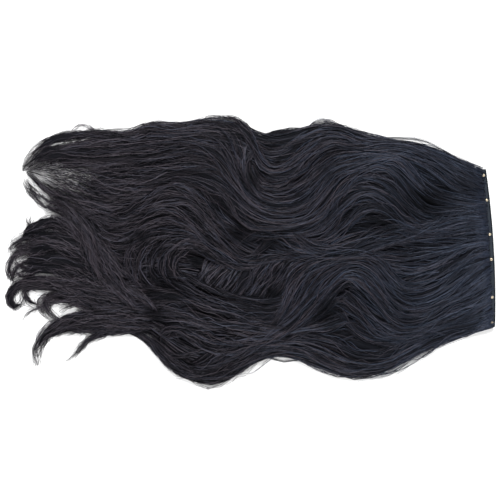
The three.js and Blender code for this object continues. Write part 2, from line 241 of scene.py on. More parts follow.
def build_mesh(name, vertices, face_groups, marks=None):
    """A smooth-shaded piece. Each face group is an array with a row of corner numbers for each face."""
    mesh = bpy.data.meshes.new(name)
    mesh.vertices.add(len(vertices))
    mesh.vertices.foreach_set("co", np.ascontiguousarray(vertices, np.float32).ravel())
    corners = np.concatenate([group.ravel() for group in face_groups])
    sizes = np.concatenate([np.full(len(group), group.shape[1]) for group in face_groups])
    mesh.loops.add(len(corners))
    mesh.loops.foreach_set("vertex_index", corners.astype(np.int32))
    mesh.polygons.add(len(sizes))
    mesh.polygons.foreach_set("loop_start", np.concatenate([[0], np.cumsum(sizes)[:-1]]).astype(np.int32))
    mesh.polygons.foreach_set("use_smooth", np.ones(len(sizes), bool))
    if marks is not None:
        layer = mesh.uv_layers.new(name="strand")
        layer.data.foreach_set("uv", marks[corners].astype(np.float32).ravel())
    mesh.update(calc_edges=True)
    piece = bpy.data.objects.new(name, mesh)
    scene.collection.objects.link(piece)
    return piece


def unit(vectors):
    """The vectors at length 1. The tiny length added keeps a zero vector from dividing by zero."""
    return vectors / (np.linalg.norm(vectors, axis=-1, keepdims=True) + 1e-12)


def tube_mesh(name, paths, radii, corners, marks=None, flatness=1):
    """Closed tubes as one piece. paths is tubes x points x 3, and radii is tubes x points."""
    count, points, _ = paths.shape
    way = unit(np.gradient(paths, axis=1))
    side = unit(np.stack([-way[..., 1], way[..., 0], np.zeros_like(way[..., 0])], axis=2))
    up = np.cross(way, side) * flatness
    turn = np.arange(corners) * 2 * math.pi / corners + math.pi / 2
    spread = np.cos(turn)[:, None] * side[:, :, None, :] + np.sin(turn)[:, None] * up[:, :, None, :]
    ring = paths[:, :, None, :] + radii[:, :, None, None] * spread
    tube = np.arange(count)[:, None, None] * points * corners
    step = tube + np.arange(points - 1)[None, :, None] * corners
    here = np.arange(corners)
    there = (here + 1) % corners
    quads = np.stack([step + here, step + there, step + corners + there, step + corners + here], -1)
    heads = tube[:, :, 0] + here[::-1]
    tails = tube[:, :, 0] + (points - 1) * corners + here
    return build_mesh(name, ring.reshape(-1, 3), [quads.reshape(-1, 4), heads, tails], marks)


thread, thread_shader = new_material("dark_thread", (0.0015, 0.004, 0.007), roughness=0.85, specular=0.01)
thread_grain = add_grain(thread.node_tree, scale=3500, smooth=0.65, rough=0.95, depth=0.00015)
wire(
    thread.node_tree,
    (thread_grain.outputs["Roughness"], thread_shader.inputs["Roughness"]),
    (thread_grain.outputs["Normal"], thread_shader.inputs["Normal"]),
)

cord_radius = 0.0007
cord_swell = 0.2
cord_loops = 75
cord_short = 0.0004
cord_sunk = 0.0003
cord_steps = 300
cord_corners = 8
cord_y = np.linspace(band_low.y + cord_short, band_high.y - cord_short, cord_steps)
cord_z = np.full(cord_steps, band_top - cord_sunk)
cord_line = np.stack([weft_x(cord_y) + band_outside, cord_y, cord_z], 1)
cord_turn = np.linspace(0, 2 * math.pi * cord_loops, cord_steps)
cord_radii = cord_radius * (1 + cord_swell * np.sin(cord_turn))
edge_cord = tube_mesh("edge_cord", cord_line[None], cord_radii[None], cord_corners)
edge_cord.data.materials.append(thread)
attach(edge_cord, "root")

stitch_pitch = 0.0022
stitch_length = 0.0022
stitch_slant = 0.0009
stitch_radius = 0.00016
stitch_inset = 0.0016
stitch_arch = 0.0007
stitch_sunk = 0.0001
stitch_margin = 0.002
stitch_points = 7
stitch_corners = 6
stitch_y = np.arange(band_low.y + stitch_margin, band_high.y - stitch_margin, stitch_pitch)
stitch_run = np.linspace(-0.5, 0.5, stitch_points)
stitch_z = band_top + stitch_arch * (1 - (2 * stitch_run) ** 2) - stitch_sunk
stitch_lines = np.stack(
    [
        (weft_x(stitch_y) - stitch_inset)[:, None] + stitch_length * stitch_run,
        stitch_y[:, None] + stitch_slant * stitch_run,
        np.broadcast_to(stitch_z, (len(stitch_y), stitch_points)),
    ],
    2,
)
stitch_radii = np.full((len(stitch_y), stitch_points), stitch_radius)
stitches = tube_mesh("seam_stitches", stitch_lines, stitch_radii, stitch_corners)
stitches.data.materials.append(thread)
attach(stitches, "root")

# Each rivet is a small turned brass stud that holds a clip through the tape, with a rolled rim and a dimple
# in the middle of its head. It stands on the tape where the frame's rivet is.

brass, brass_shader = new_material("pale_brass", colour=(0.66, 0.56, 0.41), roughness=0.35, metallic=0.75)
brass_grain = add_grain(brass.node_tree, scale=1800, smooth=0.24, rough=0.5, depth=0.00004)
wire(
    brass.node_tree,
    (brass_grain.outputs["Roughness"], brass_shader.inputs["Roughness"]),
    (brass_grain.outputs["Normal"], brass_shader.inputs["Normal"]),
)
rivet_turns = 28
rivet_turn = np.arange(rivet_turns) * 2 * math.pi / rivet_turns
rivet_next = (np.arange(rivet_turns) + 1) % rivet_turns
rivet_lift = 0.0002
rivet_stem = 0.62
# The head's section from the stem outwards and up to the dimple: share of the radius, share of the height.
rivet_section = [
    (rivet_stem, 0),
    (1, 0),
    (1.04, 0.2),
    (1, 0.5),
    (0.84, 0.82),
    (0.6, 0.98),
    (0.36, 0.97),
    (0.14, 0.9),
]


def make_rivet(name):
    """The stud that takes the place of the frame's rivet of this name."""
    low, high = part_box(name)
    middle = (low + high) / 2
    radius = (high.x - low.x) / 2
    head = band_top + rivet_lift
    rows = [(radius * rivet_stem, low.z)]
    rows += [(radius * share, head + (high.z - head) * rise) for share, rise in rivet_section]
    rings = []
    for ring_radius, z in rows:
        x = middle.x + ring_radius * np.cos(rivet_turn)
        y = middle.y + ring_radius * np.sin(rivet_turn)
        rings.append(np.stack([x, y, np.full(rivet_turns, z)], 1))
    here = np.arange(len(rows) - 1)[:, None] * rivet_turns + np.arange(rivet_turns)
    there = np.arange(len(rows) - 1)[:, None] * rivet_turns + rivet_next
    walls = np.stack([here, there, there + rivet_turns, here + rivet_turns], -1).reshape(-1, 4)
    foot = np.arange(rivet_turns)[None, ::-1]
    dimple = (len(rows) - 1) * rivet_turns + np.arange(rivet_turns)[None, :]
    rivet = build_mesh(f"{name}_head", np.concatenate(rings), [walls, foot, dimple])
    rivet.data.materials.append(brass)
    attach(rivet, "root")
    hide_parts(name)


for rivet_name in rivet_names:
    make_rivet(rivet_name)

# The three clips are pressed steel combs, enamelled black, that lie under the tape. Their edges are rounded,
# and the enamel has a slight orange-peel surface.

enamel, enamel_shader = new_material("black_enamel", colour=(0.014, 0.014, 0.016), roughness=0.35)
enamel_grain = add_grain(enamel.node_tree, scale=900, smooth=0.25, rough=0.45, depth=0.00005)
wire(
    enamel.node_tree,
    (enamel_grain.outputs["Roughness"], enamel_shader.inputs["Roughness"]),
    (enamel_grain.outputs["Normal"], enamel_shader.inputs["Normal"]),
)
clip_edge_radius = 0.00025
for number in (1, 2, 3):
    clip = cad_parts[f"clip_{number}"]
    clip.data.materials.clear()
    clip.data.materials.append(enamel)
    rounding = clip.modifiers.new("rounding", "BEVEL")
    rounding.width = clip_edge_radius
    rounding.segments = 2
    rounding.limit_method = "ANGLE"

# The mass of the hair: black fibre, sewn in along the weft, which swells to its full depth within a hand's
# width and thins out again. Its inside is one closed form, combed lengthwise, that the strands and locks lie
# on. It has a darker copy of the hair's material, as painted shade for the gaps between the strands.

hair_length = -hair_low.x
# The outermost places in the table below are 0.995 of the spread apart.
widest_place = 0.995
hair_spread = (hair_high.y - hair_low.y) / widest_place
hair_depth = 0.016
root_depth = 0.0005
tip_depth = 0.0016
hair_inset = 0.0021
hair_lift = 0.0002
hair_base = band_top + hair_lift
# From the tape's inner edge to where the hair's underside meets the surface
drop_run = 0.034

# A row for each station along the hair: how far along it is, where seven lines of flow cross it, and how deep
# the hair is there, all as shares.
flow = [
    (0.054, (0.319, 0.162, 0.079, -0.008, -0.137, -0.246, -0.326), 0.42),
    (0.106, (0.366, 0.151, 0.083, -0.008, -0.182, -0.284, -0.356), 0.62),
    (0.158, (0.397, 0.208, 0.102, 0.003, -0.205, -0.329, -0.39), 0.8),
    (0.209, (0.41, 0.283, 0.174, 0.015, -0.189, -0.341, -0.458), 0.94),
    (0.261, (0.427, 0.317, 0.204, 0.026, -0.129, -0.295, -0.496), 1),
    (0.313, (0.461, 0.329, 0.177, 0, -0.095, -0.246, -0.49), 1),
    (0.364, (0.465, 0.268, 0.102, -0.057, -0.171, -0.284, -0.452), 0.95),
    (0.416, (0.442, 0.211, 0.064, -0.087, -0.276, -0.341, -0.415), 0.9),
    (0.468, (0.429, 0.223, 0.071, -0.08, -0.307, -0.379, -0.424), 0.9),
    (0.519, (0.469, 0.287, 0.124, -0.042, -0.28, -0.371, -0.473), 0.94),
    (0.571, (0.47, 0.329, 0.211, 0.015, -0.22, -0.39, -0.52), 0.9),
    (0.623, (0.459, 0.314, 0.223, 0.041, -0.186, -0.371, -0.509), 0.8),
    (0.674, (0.455, 0.302, 0.193, 0.034, -0.163, -0.314, -0.454), 0.68),
    (0.726, (0.416, 0.291, 0.155, 0.007, -0.152, -0.269, -0.345), 0.56),
    (0.778, (0.419, 0.28, 0.109, -0.019, -0.148, -0.25, -0.333), 0.46),
    (0.83, (0.427, 0.268, 0.079, -0.034, -0.148, -0.246, -0.34), 0.38),
]
columns = len(flow[0][1])
root_y = np.linspace(band_high.y, band_low.y, columns)
root_row = np.stack([weft_x(root_y) - hair_inset, root_y], 1)
flow_rows = [
    np.stack([np.full(columns, -along * hair_length), np.array(places) * hair_spread], 1)
    for along, places, _ in flow
]
flow_knots = np.array([root_row, *flow_rows])
depth_places = np.array([hair_inset, *[along * hair_length for along, _, _ in flow], hair_length])
depth_values = np.array([root_depth, *[depth * hair_depth for _, _, depth in flow], tip_depth])

# Where the waves dip, which lowers the hair and darkens its strands with painted shade, and where they rise,
# which only lightens the strands with a painted highlight. Each place has a name, its middle and half its
# size in pixels, and how strongly it dips or rises, from -1 to 1.
dips_and_painted_light = [
    ("slope_right", (426, 200), (24, 14), -1),
    ("slope_middle", (380, 222), (19, 12), -1),
    ("slope_left", (328, 172), (10, 13), -0.7),
    ("inside_curl", (251, 178), (8, 12), -0.7),
    ("inside_arch", (222, 206), (9, 8), -1),
    ("under_trough", (239, 234), (12, 9), -1),
    ("under_hook", (270, 243), (12, 7), -0.7),
    ("in_swirl", (198, 259), (12, 8), -1),
    ("under_steep", (328, 314), (10, 12), -1),
    ("under_bands", (272, 292), (6, 12), -0.8),
    ("low_trough", (405, 296), (15, 8), -0.6),
    ("low_bulge", (367, 353), (22, 12), -0.5),
    ("beside_arch", (141, 236), (7, 5), -0.9),
    ("under_band", (172, 291), (10, 5), -0.7),
    ("foot", (156, 316), (12, 6), -0.8),
    ("beside_diagonal", (100, 284), (8, 9), -0.5),
    ("weft_top", (474, 188), (10, 13), -0.8),
    ("lobe_foot", (208, 372), (12, 7), -0.4),
    ("clump", (62, 256), (34, 26), -0.2),
    ("crest_right", (385, 160), (20, 10), 0.5),
    ("crest_left", (311, 165), (12, 14), 0.4),
    ("hook_face", (322, 237), (20, 10), 0.6),
    ("low_crest", (357, 283), (18, 12), 0.5),
    ("low_face", (440, 287), (24, 13), 0.5),
    ("arch_face", (195, 228), (16, 8), 0.4),
    ("curl_face", (240, 152), (8, 14), 0.5),
    ("fan_face", (225, 275), (25, 9), 0.6),
    ("s_face", (289, 296), (7, 14), 0.5),
    ("weft_low", (480, 300), (16, 24), 0.4),
]


def from_photo(points):
    """Places on the part, in metres, for pixels of the photograph."""
    px = np.array(points, float)
    return np.stack([(px[..., 0] - middle_clip_px[0]) * pixel, (middle_clip_px[1] - px[..., 1]) * pixel], -1)


def dip_and_painted_light_at(x, y):
    """How strongly a place dips or rises, which lowers the hair and sets its painted shade and highlight."""
    total = 0
    for _, middle, half, change in dips_and_painted_light:
        spot_x, spot_y = from_photo(middle)
        away = ((x - spot_x) / half[0] / pixel) ** 2 + ((y - spot_y) / half[1] / pixel) ** 2
        total = total + change * np.exp(-away)
    return np.clip(total, -1, 1)


def smooth_step(value):
    value = np.clip(value, 0, 1)
    return value * value * (3 - 2 * value)


def curve_weights(t):
    """The four weights of a smooth curve through its knots, at the share t of one stretch."""
    return np.stack(
        [
            -0.5 * t + t**2 - 0.5 * t**3,
            1 - 2.5 * t**2 + 1.5 * t**3,
            0.5 * t + 2 * t**2 - 1.5 * t**3,
            -0.5 * t**2 + 0.5 * t**3,
        ],
        -1,
    )


def grid_place(share, count):
    """The four knots next to this share of the way along a row of knots, and their weights."""
    at = np.clip(share, 0, 1) * (count - 1)
    cell = np.minimum(at.astype(int), count - 2)
    neighbours = np.clip(cell[..., None] + np.arange(-1, 3), 0, count - 1)
    return neighbours, curve_weights(at - cell)


def mass_point(run, side):
    """A point of the laid-out mass: run goes from the weft to the last station, side from edge to edge."""
    rows, row_weights = grid_place(run, len(flow_knots))
    cols, col_weights = grid_place(side, columns)
    knots = flow_knots[rows[..., :, None], cols[..., None, :]]
    weights = row_weights[..., :, None] * col_weights[..., None, :]
    return (knots * weights[..., None]).sum((-3, -2))


edge_depth = 0.3
crown_roundness = 0.45


def crown(side):
    """How deep the mass is from one edge to the other, as a share of its middle."""
    return edge_depth + (1 - edge_depth) * np.sin(math.pi * np.clip(side, 0, 1)) ** crown_roundness


def depth_at(x):
    """How deep the mass is in its middle."""
    return np.interp(-x, depth_places, depth_values)


def depth_here(x, y):
    """How deep the hair is over a point, from its place between the mass's two edges."""
    stations = flow_knots[::-1, :, 0].mean(1)
    left = np.interp(x, stations, flow_knots[::-1, 0, 1])
    right = np.interp(x, stations, flow_knots[::-1, -1, 1])
    return depth_at(x) * crown((left - y) / (left - right))


def underside(x, y):
    """The height that the hair lies on: the tape's top, and from its inner edge down to the surface."""
    return hair_base * (1 - smooth_step((weft_x(y) - x - band_inside) / drop_run))


def make_combed_group():
    """Hair colour: streaks along the fibre between a dark and a painted sheen that turns from blue-black to
    brown.
    """
    tree = bpy.data.node_groups.new("combed_hair", "ShaderNodeTree")
    values = [("Tone", 0.5), ("Share", 0.5), ("Across", 90), ("Along", 14)]
    values += [("Smooth", 0.3), ("Rough", 0.6), ("Depth", 0)]
    for name, value in values:
        tree.interface.new_socket(name, in_out="INPUT", socket_type="NodeSocketFloat").default_value = value
    for name in ("Dark", "Root Sheen", "Tip Sheen"):
        tree.interface.new_socket(name, in_out="INPUT", socket_type="NodeSocketColor")
    tree.interface.new_socket("Place", in_out="INPUT", socket_type="NodeSocketVector")
    tree.interface.new_socket("Colour", in_out="OUTPUT", socket_type="NodeSocketColor")
    tree.interface.new_socket("Roughness", in_out="OUTPUT", socket_type="NodeSocketFloat")
    tree.interface.new_socket("Normal", in_out="OUTPUT", socket_type="NodeSocketVector")
    tree.interface.new_socket("Streaks", in_out="OUTPUT", socket_type="NodeSocketFloat")
    given = add_node(tree, "NodeGroupInput")
    result = add_node(tree, "NodeGroupOutput")
    scales = add_node(tree, "ShaderNodeCombineXYZ")
    stretch = add_node(tree, "ShaderNodeVectorMath", operation="MULTIPLY")
    streak = add_node(tree, "ShaderNodeTexNoise", Scale=1.0, Detail=2.0)
    contrast = add_node(tree, "ShaderNodeMapRange", From_Min=0.3, From_Max=0.7, To_Min=0.4, To_Max=1.5)
    tone = add_node(tree, "ShaderNodeMath", operation="MULTIPLY", use_clamp=True)
    ends = add_node(tree, "ShaderNodeMapRange", From_Min=0.02, From_Max=0.6)
    sheen = add_node(tree, "ShaderNodeMix", data_type="RGBA")
    colour = add_node(tree, "ShaderNodeMix", data_type="RGBA")
    gloss = add_node(tree, "ShaderNodeMapRange")
    bump = add_node(tree, "ShaderNodeBump", Strength=1.0)
    wire(
        tree,
        (given.outputs["Across"], scales.inputs["X"]),
        (given.outputs["Along"], scales.inputs["Y"]),
        (given.outputs["Place"], stretch.inputs[0]),
        (scales.outputs["Vector"], stretch.inputs[1]),
        (stretch.outputs["Vector"], streak.inputs["Vector"]),
        (streak.outputs["Fac"], contrast.inputs["Value"]),
        (contrast.outputs["Result"], tone.inputs[0]),
        (given.outputs["Tone"], tone.inputs[1]),
        (given.outputs["Share"], ends.inputs["Value"]),
        (ends.outputs["Result"], sheen.inputs["Factor"]),
        (given.outputs["Root Sheen"], sheen.inputs["A"]),
        (given.outputs["Tip Sheen"], sheen.inputs["B"]),
        (tone.outputs["Value"], colour.inputs["Factor"]),
        (given.outputs["Dark"], colour.inputs["A"]),
        (sheen.outputs["Result"], colour.inputs["B"]),
        (tone.outputs["Value"], gloss.inputs["Value"]),
        (given.outputs["Rough"], gloss.inputs["To Min"]),
        (given.outputs["Smooth"], gloss.inputs["To Max"]),
        (streak.outputs["Fac"], bump.inputs["Height"]),
        (given.outputs["Depth"], bump.inputs["Distance"]),
        (colour.outputs["Result"], result.inputs["Colour"]),
        (gloss.outputs["Result"], result.inputs["Roughness"]),
        (bump.outputs["Normal"], result.inputs["Normal"]),
        (tone.outputs["Value"], result.inputs["Streaks"]),
    )
    return tree


combed_hair = make_combed_group()
cool_shine = (0.82, 0.88, 1, 1)
# The shine of the darkest and the brightest streaks, against the material's own
dull_share = 0.35
bright_share = 1.6


def hair_material(name, specular, tone=None, **values):
    """tone is the same all over where it is given, and else each strand has its own in its marks."""
    hair, shader = new_material(name, colour=(0.01, 0.01, 0.013), roughness=0.5)
    shader.inputs["Specular Tint"].default_value = cool_shine
    tree = hair.node_tree
    place = add_node(tree, "ShaderNodeUVMap", uv_map="strand")
    split = add_node(tree, "ShaderNodeSeparateXYZ")
    combed = add_node(tree, "ShaderNodeGroup")
    combed.node_tree = combed_hair
    shine = add_node(tree, "ShaderNodeMapRange", To_Min=dull_share * specular, To_Max=bright_share * specular)
    for socket, value in values.items():
        combed.inputs[socket.replace("_", " ")].default_value = value
    wire(
        tree,
        (place.outputs["UV"], split.inputs["Vector"]),
        (place.outputs["UV"], combed.inputs["Place"]),
        (split.outputs["Y"], combed.inputs["Share"]),
        (combed.outputs["Colour"], shader.inputs["Base Color"]),
        (combed.outputs["Roughness"], shader.inputs["Roughness"]),
        (combed.outputs["Normal"], shader.inputs["Normal"]),
        (combed.outputs["Streaks"], shine.inputs["Value"]),
        (shine.outputs["Result"], shader.inputs["Specular IOR Level"]),
    )
    if tone is None:
        wire(tree, (split.outputs["X"], combed.inputs["Tone"]))
    else:
        combed.inputs["Tone"].default_value = tone
    return hair


# A darker copy of the hair's material: painted shade for the hair inside the mass and between the strands.
shaded_inner_hair = hair_material(
    "shaded_inner_hair",
    specular=0.12,
    tone=0.35,
    Dark=(0.0012, 0.0012, 0.0018, 1),
    Root_Sheen=(0.014, 0.016, 0.024, 1),
    Tip_Sheen=(0.009, 0.008, 0.011, 1),
    Across=1500,
    Along=9,
    Smooth=0.5,
    Rough=0.75,
    Depth=0.0006,
)


def strand_marks(places, tones):
    """The marks that the material reads: the tone, and how far along the hair a point lies."""
    marks = np.empty((*places.shape[:-1], 2))
    marks[..., 0] = tones
    marks[..., 1] = np.clip(-places[..., 0] / hair_length, 0, 1)
    return marks


core_steps = 90
core_columns = 80
core_margin = 0.012
# It ends short of the last station, in a ragged edge.
core_reach = 0.88
core_ragged = 0.04
core_lift = 0.00005
core_thinnest = 0.0001
# How high it fills the mass, as a share, and how deep its combed ridges are
core_fill = 0.6
core_ridge = 0.05
core_dip = 0.4
thin_from = 0.6
thin_run = 0.34
thin_power = 1.5
root_run = 0.02

core_along = np.linspace(0, 1, core_steps)
core_across = np.linspace(core_margin, 1 - core_margin, core_columns)
core_run, core_side = np.meshgrid(core_along, core_across, indexing="ij")
core_run = core_run * (core_reach + core_ragged * (np.sin(core_side * 41) + np.sin(core_side * 93 + 1)))
core_place = mass_point(core_run, core_side)
core_x = core_place[..., 0]
core_y = core_place[..., 1]
core_floor = underside(core_x, core_y) + core_lift
narrow_ridges = np.sin(core_side * 150 + 3 * np.sin(core_run * 9))
wide_ridges = np.sin(core_side * 67 + core_run * 12)
core_share = core_fill + core_ridge * (narrow_ridges + wide_ridges)
core_share *= 1 - np.clip((core_run - thin_from) / thin_run, 0, 1) ** thin_power
core_share *= 1 + core_dip * np.minimum(dip_and_painted_light_at(core_x, core_y), 0)
core_share *= smooth_step((weft_x(core_y) - core_x - hair_inset) / root_run)
core_top = core_floor + depth_at(core_x) * crown(core_side) * core_share + core_thinnest
core_points = [
    np.concatenate([core_place, height[..., None]], 2).reshape(-1, 3)
    for height in (core_top, core_floor)
]
below = core_steps * core_columns
core_cell = (np.arange(core_steps - 1)[:, None] * core_columns + np.arange(core_columns - 1)).ravel()
top_faces = np.stack([core_cell, core_cell + 1, core_cell + core_columns + 1, core_cell + core_columns], 1)
floor_faces = top_faces[:, ::-1] + below
core_rim = np.concatenate(
    [
        np.arange(core_columns),
        np.arange(1, core_steps) * core_columns + core_columns - 1,
        (core_steps - 1) * core_columns + np.arange(core_columns - 2, -1, -1),
        np.arange(core_steps - 2, 0, -1) * core_columns,
    ]
)
rim_next = np.roll(core_rim, -1)
rim_faces = np.stack([rim_next, core_rim, core_rim + below, rim_next + below], 1)
core_marks = strand_marks(core_place, core_side * hair_spread).reshape(-1, 2)
core = build_mesh(
    "hair_core",
    np.concatenate(core_points),
    [top_faces, floor_faces, rim_faces],
    np.concatenate([core_marks, core_marks]),
)
core.data.materials.append(shaded_inner_hair)
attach(core, "root")
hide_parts("hair_locks")

# Strands fill the mass from edge to edge. They are black fibre combed in narrow locks, and each lock has its
# own place, height and drift.

black_hair = hair_material(
    "black_hair",
    specular=0.34,
    Dark=(0.0016, 0.0016, 0.0024, 1),
    Root_Sheen=(0.043, 0.058, 0.097, 1),
    Tip_Sheen=(0.079, 0.063, 0.077, 1),
    Smooth=0.36,
    Rough=0.58,
)
strand_corners = 3
# Each strand is a little bluer or browner than the next, as if it came from nearer the weft or the tip, and
# the difference grows towards the tips.
hue_spread = 0.25
hue_step = 2.4
# Next to the weft the hair is evenly combed, and the strands there differ less in tone and height. Their
# tone is drawn to a lighter one there, as a painted sheen.
root_painted_sheen = 0.72
root_contrast = 0.2
root_fade = 0.03


def waves(rng, count, run, strength, slow, fast):
    """Smooth random offsets, a row for each strand, from three sines of slow to fast turns along the run."""
    total = 0
    for _ in range(3):
        turns = rng.uniform(slow, fast, (count, 1))
        phase = rng.uniform(0, 2 * math.pi, (count, 1))
        total = total + rng.normal(0, 1, (count, 1)) * np.sin(2 * math.pi * turns * run + phase)
    return total * strength / math.sqrt(1.5)


# Near the weft the tones draw together round a lighter tone: a painted sheen.
def even_with_root_sheen(tones, x):
    contrast = root_contrast + (1 - root_contrast) * smooth_step(-x / root_fade)
    return root_painted_sheen + (tones - root_painted_sheen) * contrast


def add_strands(name, paths, radii, tones):
    """Three-sided strands as one piece of the hair. paths is strands x points x 3."""
    marks = strand_marks(paths, np.clip(tones, 0, 1))
    marks[..., 1] += hue_spread * (1 + marks[..., 1]) * np.sin(np.arange(len(paths)) * hue_step)[:, None]
    marks = np.repeat(marks[:, :, None], strand_corners, 2)
    strands = tube_mesh(name, paths, radii, strand_corners, marks.reshape(-1, 2))
    strands.data.materials.append(black_hair)
    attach(strands, "root")


# Where the strands start and end, as shares of the way from the weft to the last station
strand_start = (0, 0.002)
strand_end = (0.7, 1)
# Places across are shares of the mass, from edge to edge.
lock_width_range = (0.008, 0.02)
lock_swell = 0.45
lock_drift = 0.016
strand_drift = 0.25
strand_ripple = 0.0022
turned_back = 0.4
edge_margin = 0.002
# Heights are shares of the depth, down to the jitter, which is in metres.
height_sway = 0.05
lock_dome = 0.1
height_range = (0.1, 1.12)
height_dip = 0.3
height_jitter = 0.0003
place_jitter = 0.0003
jitter_run = 0.1
least_height = 0.0003
strand_radius = (0.0002, 0.00038)


def main_strands(name, seed, locks, per_lock, levels, points):
    """Locks of strands all over the mass. levels is the range of their heights, as shares of its depth."""
    rng = np.random.default_rng(seed)
    count = locks * per_lock
    lock_side = (np.arange(locks) + rng.uniform(0.1, 0.9, locks)) / locks
    rng.shuffle(lock_side)
    run = np.linspace(0, 1, points)[None, :]
    start = rng.uniform(*strand_start, (count, 1))
    last = rng.uniform(*strand_end, (count, 1))
    along = start + run * (last - start)
    in_lock = np.repeat(np.arange(locks), per_lock)
    drift = waves(rng, locks, run, lock_drift, 0.6, 2.2) * np.sin(math.pi * np.clip(run * 1.4, 0, 1)) ** 0.5
    width = rng.uniform(*lock_width_range, (locks, 1)) * (1 + lock_swell * waves(rng, locks, run, 1, 1, 4))
    level = rng.uniform(*levels, (locks, 1)) + waves(rng, locks, run, height_sway, 0.8, 3)
    across = rng.uniform(-1, 1, (count, 1)) + waves(rng, count, run, strand_drift, 0.5, 3)
    side = lock_side[in_lock][:, None] + drift[in_lock] + np.abs(width[in_lock]) * across
    side = side + waves(rng, count, run, strand_ripple, 2, 7) * (0.4 + run)
    # A strand that would leave the mass turns back at its edge.
    side = np.where(side < 0, -side * turned_back, np.where(side > 1, 1 - (side - 1) * turned_back, side))
    place = mass_point(along, np.clip(side, edge_margin, 1 - edge_margin))
    x = place[..., 0]
    y = place[..., 1]
    rise = dip_and_painted_light_at(x, y)
    deep = depth_at(x) * crown(side)
    height = np.clip(level[in_lock] + lock_dome * (1 - across**2), *height_range) * deep
    height = height * (1 + height_dip * np.minimum(rise, 0))
    height += waves(rng, count, run, height_jitter, 3, 9) * smooth_step(-x / root_fade)
    z = underside(x, y) + np.maximum(height, least_height)
    place = place + rng.normal(0, place_jitter, place.shape) * smooth_step(-x / jitter_run)[..., None]
    radius = rng.uniform(*strand_radius, (count, 1)) * np.clip((1 - run) * 7, 0.3, 1)
    # The dips and rises darken and lighten the strands' tone: painted shade and painted highlight.
    tones = even_with_root_sheen(rng.beta(0.45, 1, (count, 1)) * (1 + rise), x)
    add_strands(name, np.concatenate([place, z[..., None]], 2), radius, tones)


main_strands("strands_low", seed=3, locks=45, per_lock=6, levels=(0.3, 0.6), points=26)
main_strands("strands_mid", seed=4, locks=90, per_lock=7, levels=(0.45, 0.7), points=28)

# The locks that come off the weft and show on top, in the waves that they fall in. Each is a flattened body,
# in the darker copy of the hair's material that paints shade, under a domed bundle of strands. A row holds
# the lock's name, half its width in pixels, its strands, its height as a share of the hair's depth, and its
# path in pixels of the photograph.

